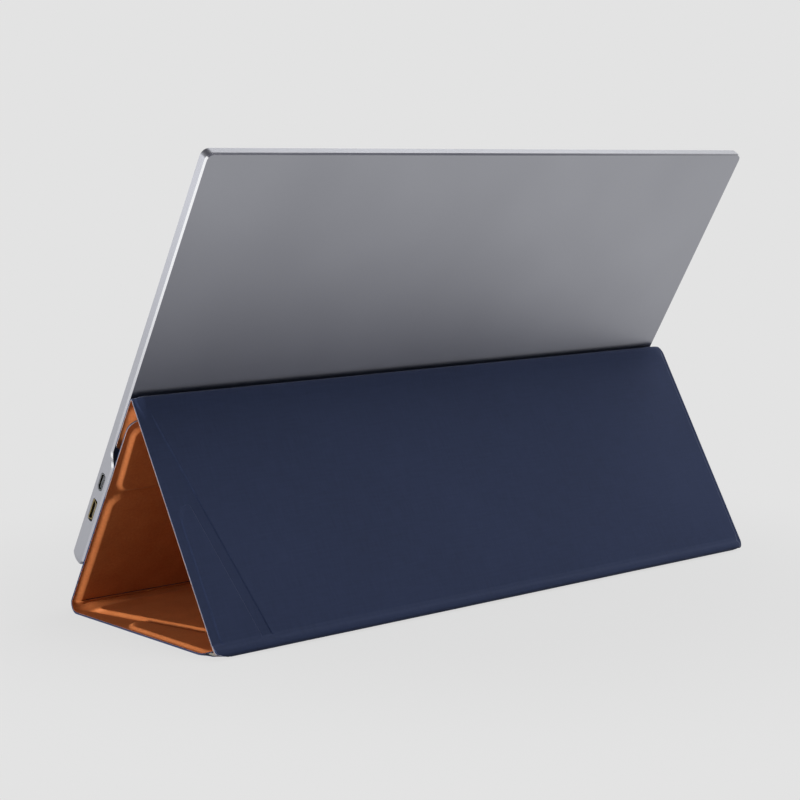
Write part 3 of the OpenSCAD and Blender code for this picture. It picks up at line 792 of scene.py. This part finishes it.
# Ways along the wall and the rear panel, and ways into the triangle from them, as (y, z)
WALL_DIR, WALL_IN = [np.array([math.sin(a), math.cos(a)]) for a in (LEAN, LEAN + math.pi / 2)]
REAR_DIR, REAR_IN = WALL_DIR * (-1, 1), WALL_IN * (-1, 1)
FOLD_TURN = {"apex": math.pi - 2 * LEAN, "rear": math.pi / 2 + LEAN,
             "front": math.pi / 2 + LEAN}

# Places where the flat cover's parts end, measured along its outer face from the flap's end
S_APEX = FLAP_LEN - APEX_TAN
S_REAR = S_APEX + APEX_BEND * FOLD_TURN["apex"]
S_FOLD = S_REAR + REAR_LEN - APEX_TAN - REAR_TAN
S_BASE = S_FOLD + REAR_BEND * FOLD_TURN["rear"]
S_FRONT = S_BASE + BASE_LEN - REAR_TAN - FRONT_TAN
S_WALL = S_FRONT + FRONT_BEND * FOLD_TURN["front"]
S_TAB_FOLD = S_WALL + WALL_TOP - FRONT_TAN
S_TAB = S_TAB_FOLD + TAB_LOW - WALL_TOP
S_END = S_TAB + TAB_TOP - TAB_LOW


def bend(centre, radius, start_angle, turn):
    """A place on a bend, and the way in from there."""
    out = np.array([math.cos(start_angle + turn), math.sin(start_angle + turn)])
    return centre + radius * out, -out


def section(s):
    """Point (y, z) on the folded cover's outer face, and the direction into the triangle."""
    if s <= S_APEX:
        return APEX - (FLAP_LEN - s) * WALL_DIR, WALL_IN
    if s < S_REAR:
        centre = APEX - APEX_TAN * REAR_DIR + APEX_BEND * REAR_IN
        return bend(centre, APEX_BEND, math.pi - LEAN, -(s - S_APEX) / APEX_BEND)
    if s <= S_FOLD:
        return REAR + (REAR_TAN + S_FOLD - s) * REAR_DIR, REAR_IN
    if s < S_BASE:
        centre = REAR + np.array([-REAR_TAN, REAR_BEND])
        return bend(centre, REAR_BEND, LEAN, -(s - S_FOLD) / REAR_BEND)
    if s <= S_FRONT:
        return REAR + np.array([-REAR_TAN - (s - S_BASE), 0.0]), np.array([0.0, 1.0])
    if s < S_WALL:
        centre = FRONT + np.array([FRONT_TAN, FRONT_BEND])
        return bend(centre, FRONT_BEND, -math.pi / 2, -(s - S_FRONT) / FRONT_BEND)
    return FRONT + (FRONT_TAN + s - S_WALL) * WALL_DIR, WALL_IN


# ---- What lies between cloth and lining: the boards, on the flat cover ----

HEM, FAR_HEM = 5.0, 3.6      # bare cloth beside the boards; the far end is x = COVER_LEFT
CREASE_GAP = 6.4


def crease_x(from_fold):
    """The slanted line at the port end, on which the rear and base panels can turn."""
    return COVER_RIGHT - 35.0 + 0.23 * from_fold


def fillet(corners, steps=6):
    """Rounds an outline of (x, s, radius) corners."""
    points = []
    for k, (x, s, radius) in enumerate(corners):
        here = np.array([x, s])
        before = np.array(corners[k - 1][:2]) - here
        after = np.array(corners[(k + 1) % len(corners)][:2]) - here
        before, after = before / np.linalg.norm(before), after / np.linalg.norm(after)
        half_angle = math.acos(np.clip(before @ after, -1, 1)) / 2
        along = radius / math.tan(half_angle)
        middle = here + (before + after) / np.linalg.norm(before + after) * (
            radius / math.sin(half_angle))
        first, last = here + before * along - middle, here + after * along - middle
        total = math.pi - 2 * half_angle
        for a in np.arange(steps + 1) * total / steps:
            points.append(middle + (math.sin(total - a) * first + math.sin(a) * last)
                          / math.sin(total))
    return np.array(points)


def board(corners, from_corner, sign):
    """A board's outline moved to the flat cover: s = from_corner + sign * its own distance."""
    return fillet([(x, from_corner + sign * s, radius) for x, s, radius in corners])


def panel_boards(low, high, corner_top, corner_x):
    """Main board up to the slanted line, and the small board in the corner beyond it."""
    left = COVER_LEFT + FAR_HEM
    main = [(left, low, 4), (crease_x(low), low, 4), (crease_x(high), high, 4), (left, high, 4)]
    corner = [(crease_x(low) + CREASE_GAP, low, 2.5), (corner_x, low, 4),
              (corner_x, corner_top - 6, 4), (corner_x - 4, corner_top, 2.5),
              (crease_x(corner_top) + CREASE_GAP, corner_top, 1.5)]
    return main, corner


REAR_ZERO = S_FOLD + REAR_TAN
BASE_ZERO = S_BASE - REAR_TAN
WALL_ZERO = S_WALL - FRONT_TAN
# How far the boards stay back from the folds, and how far up the corner boards reach
REAR_HEM, APEX_HEM, FRONT_HEM, TAB_HEM = 2.5, 3.6, 0.4, 1.5
REAR_CORNER_TOP, BASE_CORNER_TOP = 74, 78
rear_main, rear_corner = panel_boards(REAR_TAN + REAR_HEM, REAR_LEN - APEX_TAN - APEX_HEM,
                                      REAR_CORNER_TOP, COVER_RIGHT - HEM)
base_main, base_corner = panel_boards(REAR_TAN + REAR_HEM, BASE_LEN - FRONT_TAN - FRONT_HEM,
                                      BASE_CORNER_TOP, COVER_RIGHT - 3.5)


def straight(low, high):
    left, right = COVER_LEFT + HEM, COVER_RIGHT - HEM
    return [(left, low, 4), (right, low, 4), (right, high, 4), (left, high, 4)]


BOARD_T, FLAP_BOARD_T = 1.2, 2.1
CLOTH_T, LINING_T = 0.36, 0.45
BARE = 1.45           # cloth and lining together where there is no board
PADDING = 0.45        # how much thicker the lining is where it is padded
PAD_RISE = 0.7 + BOARD_T + 0.7 + PADDING - BARE
SEAM = S_WALL - 0.5   # the padding is stitched down at the foot of the wall
# The lining's padding runs on from the base board round the front bend, to a seam at the wall
PAD_END = BASE_LEN - FRONT_TAN + S_WALL - S_FRONT + 1.5
wall_main = [(COVER_LEFT + HEM, FRONT_TAN - 1.0, 1), (COVER_RIGHT - HEM, FRONT_TAN - 1.0, 1),
             *straight(FRONT_TAN, WALL_TOP - TAB_HEM)[2:]]
base_pad = [(COVER_LEFT + HEM, REAR_TAN + REAR_HEM, 4),
            (crease_x(REAR_TAN), REAR_TAN + REAR_HEM, 4),
            (crease_x(PAD_END), PAD_END, 1), (COVER_LEFT + HEM, PAD_END, 1)]
flap_main = straight(APEX_TAN + APEX_HEM, FLAP_LEN - HEM)
flap_main[1:3] = [(COVER_RIGHT - 3.4, s, 4) for _, s, _ in flap_main[1:3]]
tab_main = straight(TAB_LOW + TAB_HEM, TAB_TOP - HEM)
tab_main[1] = (COVER_RIGHT - HEM - 1.6, TAB_LOW + TAB_HEM, 4)
# (outline, rise of the lining over it, where beside the outline it comes down, whether the
# cloth is drawn in beside it)
BOARDS = [
    (board(flap_main, FLAP_LEN, -1), PAD_RISE + FLAP_BOARD_T - BOARD_T, (-2.6, 3.1), True),
    (board(rear_main, REAR_ZERO, -1), PAD_RISE, (0.2, 4.1), True),
    (board(rear_corner, REAR_ZERO, -1), PAD_RISE - PADDING, (0.2, 2.8), True),
    (board(base_main, BASE_ZERO, 1), PAD_RISE, (0.0, 3.0), True),
    (board(base_corner, BASE_ZERO, 1), PAD_RISE - PADDING, (0.2, 2.8), True),
    (board(base_pad, BASE_ZERO, 1), PAD_RISE, (0.0, 3.0), False),
    (board(wall_main, WALL_ZERO, 1), PAD_RISE, (0.2, 4.1), True),
    (board(tab_main, WALL_ZERO, 1), PAD_RISE, (0.2, 3.3), True),
]


def outside(points, outline):
    """Signed distance from each point to a closed outline, positive outside it."""
    ends = np.roll(outline, -1, axis=0)
    nearest = np.full(len(points), 1e9)
    inside = np.zeros(len(points), bool)
    for a, b in zip(outline, ends):
        ab = b - a
        if ab @ ab < 1e-12:
            continue
        away = points - a
        t = np.clip((away @ ab) / (ab @ ab), 0, 1)
        nearest = np.minimum(nearest, np.linalg.norm(away - t[:, None] * ab, axis=1))
        if a[1] != b[1]:
            crosses = (a[1] > points[:, 1]) != (b[1] > points[:, 1])
            inside ^= crosses & (away[:, 0] < away[:, 1] / ab[1] * ab[0])
    return np.where(inside, -nearest, nearest)


def smooth(t):
    t = np.clip(t, 0, 1)
    return t * t * (3 - 2 * t)


DIP, FAR_DIP = 0.5, 0.95     # how far the cloth is drawn in beside a board
SPAN_START = S_FRONT - 14


def spanned(s):
    """How far the padding leaves the front bend's section to span its inner corner."""
    if not SPAN_START < s < SEAM:
        return np.zeros(2)
    (start, up), (end, inward) = section(SPAN_START), section(SEAM)
    depth = BARE + PAD_RISE
    first, last = start + depth * up, end + depth * inward
    corner = first - np.array([6.0, 0.0])
    u = (s - SPAN_START) / (SEAM - SPAN_START)
    at = (1 - u) ** 2 * first + 2 * u * (1 - u) * corner + u * u * last
    here, inward = section(s)
    return at - here - depth * inward


def profile(zero, *steps):
    """(distance along the flat cover, height) steps, from (distance from zero, height) ones."""
    return [(zero + distance, height) for distance, height in steps]


# Bead along the rear fold, ridge past the top bend, and notch at the rear fold's port end
BEAD = (profile(REAR_ZERO, (-8.5, 0), (-6.6, 0.3), (-5.2, 0.72), (-4, 0.84))
        + profile(S_FOLD, (0.5, 0.7), (1.5, 0.3), (2.6, 0)))
RIDGE = profile(S_REAR, (-2.1, 0), (-1.2, 0.35), (-0.5, 0.85), (0, 1.15), (1, 1.25), (3, 1.05),
                (6, 0.55), (10, 0.15), (14, 0))
NOTCH = (profile(S_FOLD, (-2.4, 0), (-1.2, 0.15), (0, 0.8), (0.8, 2.9), (1.6, 5.7), (2.6, 8.1))
         + profile(S_BASE, (0, 9.3), (1.4, 9.2), (3, 8.3), (5, 5.9), (7, 3.2), (9, 1.2),
                   (11, 0.2), (12.5, 0)))


def relief(across, along):
    """Depth of the cloth's outer face and of the lining's inner face, both from the section."""
    x, s = across.ravel(), along.ravel()
    far_deeper = FAR_DIP / DIP
    dip = np.full(len(x), far_deeper)
    rise = np.zeros(len(x))
    for outline, full, (high, foot), drawn_in in BOARDS:
        near = (s > outline[:, 1].min() - 4) & (s < outline[:, 1].max() + 4)
        if not near.any():
            continue
        d = outside(np.stack([x, s], 1)[near], outline)
        if drawn_in:
            # It comes down more gently, and farther, at the end away from the sockets
            depth = np.where(x[near] < COVER_LEFT + HEM + 3,
                             smooth((d + 0.05) / 1.7) * far_deeper, smooth((d + 0.05) / 0.65))
            dip[near] = np.minimum(dip[near], depth)
        # Round the front bend the padding runs out gently towards the cover's edge
        gentle = 0.0 if drawn_in else smooth((s[near] - S_FRONT + 5) / 9)
        t = (d - high + 16 * gentle) / (foot - high + 18 * gentle)
        rise[near] = np.maximum(rise[near], full * (1 - smooth(t)))
    groove = (1 - smooth(np.abs(s - SEAM) / 0.75)) * smooth((COVER_RIGHT - 4 - x) / 4)
    rise -= np.minimum(rise, 1.6) * groove
    at_far_end = smooth((COVER_LEFT + HEM + 3 - x) / 2.0)
    outer = DIP * np.minimum(dip, 1 + (far_deeper - 1) * at_far_end)
    # Along the rear fold the cloth stands off in a bead instead, and turns under; past the
    # bend at the top it stands out in a soft ridge
    bead_ends = smooth((x - COVER_LEFT - 0.5) / 8)
    ridge_ends = bead_ends * smooth((COVER_RIGHT - x) / 6)
    for heights, ends in ((BEAD, bead_ends), (RIDGE, ridge_ends)):
        height = np.interp(s, *zip(*heights)) * ends
        outer = outer * (1 - smooth(height / 0.3)) - height
    # Slight unevenness of the cloth over the glue
    outer += 0.012 * (np.sin(x / 9.1 + 1.3 * np.sin(s / 13.0)) + np.sin(s / 7.3 + x / 31.0))
    return outer.reshape(across.shape), (BARE + rise).reshape(across.shape)


# ---- Outline of the flat cover: where each row of it begins and ends ----

PANEL_R = 6.0


def corner_inset(distance, radius):
    """How far an edge has rounded in at a distance from the end of its side."""
    if distance >= radius:
        return 0.0
    return radius - math.sqrt(max(0.0, radius ** 2 - (radius - distance) ** 2))


FOLD_MIDDLES = [(S_APEX + S_REAR) / 2, (S_FOLD + S_BASE) / 2, (S_FRONT + S_WALL) / 2,
                (S_TAB_FOLD + S_TAB) / 2]


def row_ends(s):
    """Left and right end of the cover's row at s."""
    left = COVER_LEFT
    for middle in FOLD_MIDDLES:
        left += 1.6 * float(1 - smooth(abs(s - middle) / 5.0))
    if s > S_END - PANEL_R or s < PANEL_R:
        left += corner_inset(min(s, S_END - s), PANEL_R)
    right = COVER_RIGHT - float(np.interp(s, *zip(*NOTCH)))
    if s > S_END - PANEL_R:
        right = COVER_RIGHT - corner_inset(S_END - s, PANEL_R)
    if s < 4.0:
        right = COVER_RIGHT - corner_inset(s, 4.0)
    return left, right


# Columns' steps in from an edge, over a slanted line, and over the corner board's edge
EDGE_STEPS = np.array([0, 0.06, 0.15, 0.28, 0.45, 0.7, 1, 1.4, 1.8, 2.1, 2.4, 2.6, 2.75, 2.9,
                       3.05, 3.2, 3.35, 3.5, 3.7, 4, 4.3, 4.6, 4.85, 5.02, 5.3, 5.8, 6.8, 8.4,
                       10])
CREASE_STEPS = np.array([-2.6, -1.5, -0.9, -0.5, -0.25, -0.1, 0, 0.1, 0.2, 0.3, 0.42, 0.55, 0.7,
                         0.95, 1.25, 1.55, 1.85, 2.15, 2.45, 2.8, 3.2])
CORNER_STEPS = np.array([-2.2, -1.7, -1.25, -0.9, -0.68, -0.52, -0.4, -0.3, -0.2, -0.1, 0, 0.12,
                         0.3, 0.7])


def columns(s):
    """Places across the cover, close where it changes and following the slanted lines."""
    left, right = row_ends(s)
    if s <= S_BASE:
        from_fold = np.clip(REAR_ZERO - s, REAR_TAN, REAR_LEN - APEX_TAN)
    else:
        from_fold = min(s - BASE_ZERO, BASE_LEN - FRONT_TAN)
    crease = crease_x(from_fold)
    near = left + EDGE_STEPS
    slanted = crease + CREASE_STEPS
    room = right - slanted[-1]
    tight = min(1.0, room / 9.2)
    corner = slanted[-1] + 3.2 * tight + CORNER_STEPS * tight
    end_reach = min(1.0, (right - corner[-1]) * 0.08)
    far = (right - EDGE_STEPS * end_reach)[::-1]
    return np.concatenate([
        near, np.linspace(near[-1], slanted[0], 34)[1:-1], slanted,
        np.linspace(slanted[-1], corner[0], 4)[1:-1], corner,
        np.linspace(corner[-1], far[0], 16)[1:-1], far])


def spaced(low, high, wide, *edges):
    """Rows from low to high: close together at both ends, closest at boards' edges."""
    rows = set(np.arange(low, low + 5, 0.45)) | set(np.arange(high, high - 5, -0.45))
    rows |= set(np.linspace(low, high, int((high - low) / wide) + 2))
    for edge in edges:
        rows |= set(np.arange(edge - 3, edge + 3, 0.4))
        rows |= set(np.arange(edge - 0.75, edge + 0.75, 0.13))
    kept = []
    for r in sorted(r for r in rows if low <= r <= high):
        if not kept or r - kept[-1] > 0.06:
            kept.append(r)
    kept[-1] = high
    return np.array(kept)


RIM_SHARE = 0.08     # how much of the lining's rim is its tan face


def two_faces(kind, outer, inner):
    """Depths of a sheet's shown face and of its back."""
    # Where the cloth stands out in a bead or ridge, it does so over a filler
    behind = np.maximum(outer, 0) + CLOTH_T
    if kind == "cloth":
        return outer, behind
    behind += 0.02
    over_board = smooth((inner - BARE) / 0.3)
    return inner, behind + over_board * np.maximum(0, inner - LINING_T - behind)


def laid_sheet(name, s_rows, kind):
    """A closed thin sheet. The lining's rim is split where its face ends."""
    x = np.array([columns(s) for s in s_rows])
    rows, cols = x.shape
    count = rows * cols
    s_grid = np.repeat(s_rows[:, None], cols, 1)
    base, into = np.array([section(s) for s in s_rows]).transpose(1, 0, 2)[:, :, None]
    shift = np.array([spanned(s) for s in s_rows])[:, None]
    verts = []
    for depth in two_faces(kind, *relief(x, s_grid)):
        padded = np.clip((depth - BARE) / PAD_RISE, 0, 1)
        yz = base + depth[..., None] * into + padded[..., None] * shift
        verts.append(np.concatenate([x[..., None], yz], 2).reshape(-1, 3) * MM)
    at = np.arange(count).reshape(x.shape)
    rim = [int(k) for side in (at[0], at[1:, -1], at[-1, -2::-1], at[-2:0:-1, 0]) for k in side]
    rings = [rim, [k + count for k in rim]]
    if kind == "lining":
        front, rear = verts
        verts.append(front[rim] + (rear[rim] - front[rim]) * RIM_SHARE)
        rings.insert(1, [2 * count + k for k in range(len(rim))])
    faces, finishes = [], []
    for i in range(rows - 1):
        # Along the seam the lining's faces take its second finish, which is the navy cloth on the
        # front fold: painted shade, a dark line in the seam's groove
        seam_shade_row = abs(s_rows[i] + s_rows[i + 1] - 2 * SEAM) < 0.9
        for j in range(cols - 1):
            a = i * cols + j
            faces += [(a, a + 1, a + cols + 1, a + cols),
                      tuple(count + k for k in (a, a + cols, a + cols + 1, a + 1))]
            finishes += [int(seam_shade_row and x[i, j] < COVER_RIGHT - 7), 0]
    for level, (upper, lower) in enumerate(zip(rings, rings[1:])):
        for k in range(len(rim)):
            n = (k + 1) % len(rim)
            faces.append((upper[n], upper[k], lower[k], lower[n]))
            finishes.append(level)
    mesh = bpy.data.meshes.new(name)
    mesh.from_pydata(np.concatenate(verts).tolist(), [], faces)
    mesh.polygons.foreach_set("material_index", finishes)
    flat = np.stack([x.ravel(), s_grid.ravel()], 1) * MM
    flat = np.concatenate([flat, flat] + ([flat[rim]] if kind == "lining" else []))
    uv = mesh.uv_layers.new(name="flat")
    loops = np.empty(len(mesh.loops), int)
    mesh.loops.foreach_get("vertex_index", loops)
    uv.data.foreach_set("uv", flat[loops].astype(np.float32).ravel())
    part = bpy.data.objects.new(name, mesh)
    bpy.context.collection.objects.link(part)
    pick(part)
    bpy.ops.object.mode_set(mode="EDIT")
    choose_all()
    bpy.ops.mesh.remove_doubles(threshold=1e-8)
    bpy.ops.mesh.normals_make_consistent(inside=False)
    bpy.ops.object.mode_set(mode="OBJECT")
    bpy.ops.object.shade_smooth_by_angle(angle=math.radians(50))
    return part


def cover_pieces(stem, rows):
    """A panel's or fold's cloth and lining. The lining's rim shows its pale backing, but on the
    base, front fold and wall it takes the navy cloth so that it reads dark; on the front fold the
    navy along the seam is painted shade.
    """
    cloth = dress(laid_sheet(stem + "_cloth", rows, "cloth"), CLOTH)
    # On these pieces the lining's second finish is the navy cloth: a dark rim, and painted shade
    # along the seam
    navy_edged = stem.split("_")[0] in ("base", "front", "wall")
    lining = dress(laid_sheet(stem + "_lining", rows, "lining"), LEATHERETTE,
                   CLOTH if navy_edged else CUT_EDGE)
    return cloth, lining


LAP = 0.8    # how far a fold's strip laps the panels
# Each with where it begins and ends along the cover, its rows' spacing and its boards' edges
panels = [
    ("flap", "top_flap", 0, S_APEX, 2.5, (HEM, S_APEX - APEX_HEM)),
    ("rear", "rear_panel", S_REAR, S_FOLD, 1.9,
     (S_REAR + APEX_HEM, REAR_ZERO - REAR_CORNER_TOP, S_FOLD - REAR_HEM)),
    ("base", "base_panel", S_BASE, S_FRONT, 1.9,
     (S_BASE + REAR_HEM, BASE_ZERO + BASE_CORNER_TOP, S_FRONT - FRONT_HEM)),
    ("wall", "front_wall", S_WALL, S_TAB_FOLD, 2.5, (S_TAB_FOLD - TAB_HEM,)),
    ("tab", "tab", S_TAB, S_END, 2.5, (S_TAB + TAB_HEM, S_END - HEM)),
]
for stem, body, low, high, wide, edges in panels:
    rows = spaced(low + LAP if low > 0 else 0, high - LAP if high < S_END else high, wide, *edges)
    for part, layer in zip(cover_pieces(stem + "_panel", rows), ("skin", "lining")):
        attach(part, body)
        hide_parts(f"{stem}_{layer}")
        if part.name == "rear_panel_cloth":
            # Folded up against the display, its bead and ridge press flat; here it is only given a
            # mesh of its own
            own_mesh(part)

folds = [
    ("apex", "top_flap", "rear_panel", S_APEX, S_REAR, 24),
    ("rear", "rear_panel", "base_panel", S_FOLD, S_BASE, 20),
    ("front", "base_panel", "front_wall", S_FRONT, S_WALL, 30),
    ("tab", "front_wall", "tab", S_TAB_FOLD, S_TAB, 10),
]
for stem, before, after, low, high, steps in folds:
    rows = np.concatenate([[low - LAP], np.linspace(low, high, steps), [high + LAP]])
    if stem == "front":
        rows = np.union1d(rows[rows < SEAM - 0.8],
                          np.append(np.arange(SEAM - 0.8, high + LAP, 0.1), high + LAP))
    # The lining lies inside the bend, so it is shorter, but not where it is padded; the strips are
    # made full length and this is not used
    shorter = 0.0 if stem == "front" else 0.9 * FOLD_TURN.get(stem, 0.0)
    for part, less in zip(cover_pieces(stem + "_fold", rows), (0, shorter)):
        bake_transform(part)
        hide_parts(f"{stem}_fold_strip")

# ---- Studio ----

BACKDROP = "#e3e3e3"


def mix(tree, share, first, second):
    return add_node(tree, "ShaderNodeMixShader", {
        0: share, 1: first.outputs[0], 2: second.outputs[0]})


def in_reflections(tree, otherwise, reflected):
    path = add_node(tree, "ShaderNodeLightPath")
    return mix(tree, path.outputs["Is Glossy Ray"], otherwise, reflected)


def backdrop_mix(tree, unseen, seen):
    """unseen for what lights the object, seen for the camera and in reflections."""
    path = add_node(tree, "ShaderNodeLightPath")
    sees = combine(tree, "ADD", path.outputs["Is Camera Ray"], path.outputs["Is Glossy Ray"])
    any_way = combine(tree, "ADD", sees, path.outputs["Is Transmission Ray"], use_clamp=True)
    return mix(tree, any_way, unseen, seen)


def light(tree, kind, colour, strength=1.0):
    return add_node(tree, kind, {"Color": colour, "Strength": strength})


def eased(tree, value, start, end, low=0.0, high=1.0):
    return spread(tree, value, low, high, start, end, interpolation_type="SMOOTHSTEP")


ROOM_GLOW = 0.15
world = bpy.data.worlds.new("studio")
bpy.context.scene.world = world
world.use_nodes = True
tree = world.node_tree
tree.nodes.clear()
room = light(tree, "ShaderNodeBackground", srgb(BACKDROP), ROOM_GLOW)
plain_room = light(tree, "ShaderNodeBackground", srgb(BACKDROP))
# Reflections also show that the studio is dark overhead and behind the camera
direction = add_node(tree, "ShaderNodeTexCoord")
toward_dark = add_node(tree, "ShaderNodeVectorMath", {
    0: direction.outputs["Generated"], 1: (0.3, 0.8, 0.7)}, operation="DOT_PRODUCT")
darkness = eased(tree, toward_dark.outputs["Value"], -0.1, 0.6)
dark_room = light(tree, "ShaderNodeBackground",
                  ramp(tree, darkness, [(0.0, BACKDROP), (1.0, "#5a5a63")]))
mixed = backdrop_mix(tree, room, in_reflections(tree, plain_room, dark_room))
add_node(tree, "ShaderNodeOutputWorld", {"Surface": mixed.outputs[0]})

# Pale painted floor: it keeps the object's shadow near it, and farther out is the backdrop
floor = close_edit(start("primitive_plane_add", "floor", size=8), None)
floor_paint, tree = new_material("pale matt floor paint")
paint = add_node(tree, "ShaderNodeBsdfPrincipled", {
    "Base Color": srgb("#b4b4b4"), "Roughness": 0.9, "Specular IOR Level": 0.2})
even = light(tree, "ShaderNodeEmission", srgb(BACKDROP))
where = own_place(tree)
distance = add_node(tree, "ShaderNodeVectorMath", {0: where}, operation="LENGTH")
kept = mix(tree, eased(tree, distance.outputs["Value"], 0.12, 0.34, 0.86), paint, even)
# Reflections show the floor white farther out, and painted shade, darker, where the object stands
# over it, in place of its shadow
reach = add_node(tree, "ShaderNodeVectorMath", {0: mapped(tree, where, (0.35, 1.0, 1.0))},
                 operation="LENGTH")
floor_shade_fade = eased(tree, reach.outputs["Value"], 0.04, 0.19)
lit = light(tree, "ShaderNodeEmission",
            ramp(tree, floor_shade_fade, [(0.0, "#a0a0a8"), (1.0, "#ffffff")]))
finish_surface(tree, backdrop_mix(tree, paint, in_reflections(tree, kept, lit)))
dress(floor, floor_paint)


def lamp(name, place, at, size, power):
    """A soft box of the given size, aimed at a point."""
    bpy.ops.object.select_all(action="DESELECT")
    aim = Vector(at) - Vector(place)
    bpy.ops.object.light_add(type="AREA", location=place,
                             rotation=aim.to_track_quat("-Z", "Y").to_euler())
    box = bpy.context.object
    box.name = box.data.name = name
    box.data.shape = "RECTANGLE"
    box.data.size, box.data.size_y = size
    box.data.energy = power
    return box


MIDDLE = (0, 0, 0.1)
lamps = [
    lamp("overhead_softbox", (-0.45, 0.62, 1.4), MIDDLE, (1.4, 1.0), 24),
    lamp("port_softbox", (1.6, -0.07, 0.12), (0, 0, 0.09), (0.5, 0.24), 30),
    lamp("side_softbox", (1.3, -1.15, 0.45), MIDDLE, (1.2, 0.8), 3.5),
    lamp("high_softbox", (-0.9, -0.4, 1.3), MIDDLE, (1.2, 1.2), 4),
]
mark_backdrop(floor, *lamps)

# ---- Camera ----

yaw, pitch, roll = [math.radians(angle) for angle in (-41.152, 7.168, -0.108)]
bpy.ops.object.camera_add(location=(0.65346, 0.721265, 0.217563))
camera = bpy.context.object
camera.rotation_mode = "QUATERNION"
camera.rotation_quaternion = (
    Matrix.Rotation(yaw + math.pi, 3, "Z") @ Matrix.Rotation(math.pi / 2 - pitch, 3, "X")
    @ Matrix.Rotation(roll, 3, "Z")).to_quaternion()
camera.data.sensor_width = 36
camera.data.lens = 84.821
camera.data.dof.use_dof = False
bpy.context.scene.camera = camera
bpy.context.scene.view_settings.view_transform = "Standard"

low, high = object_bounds()
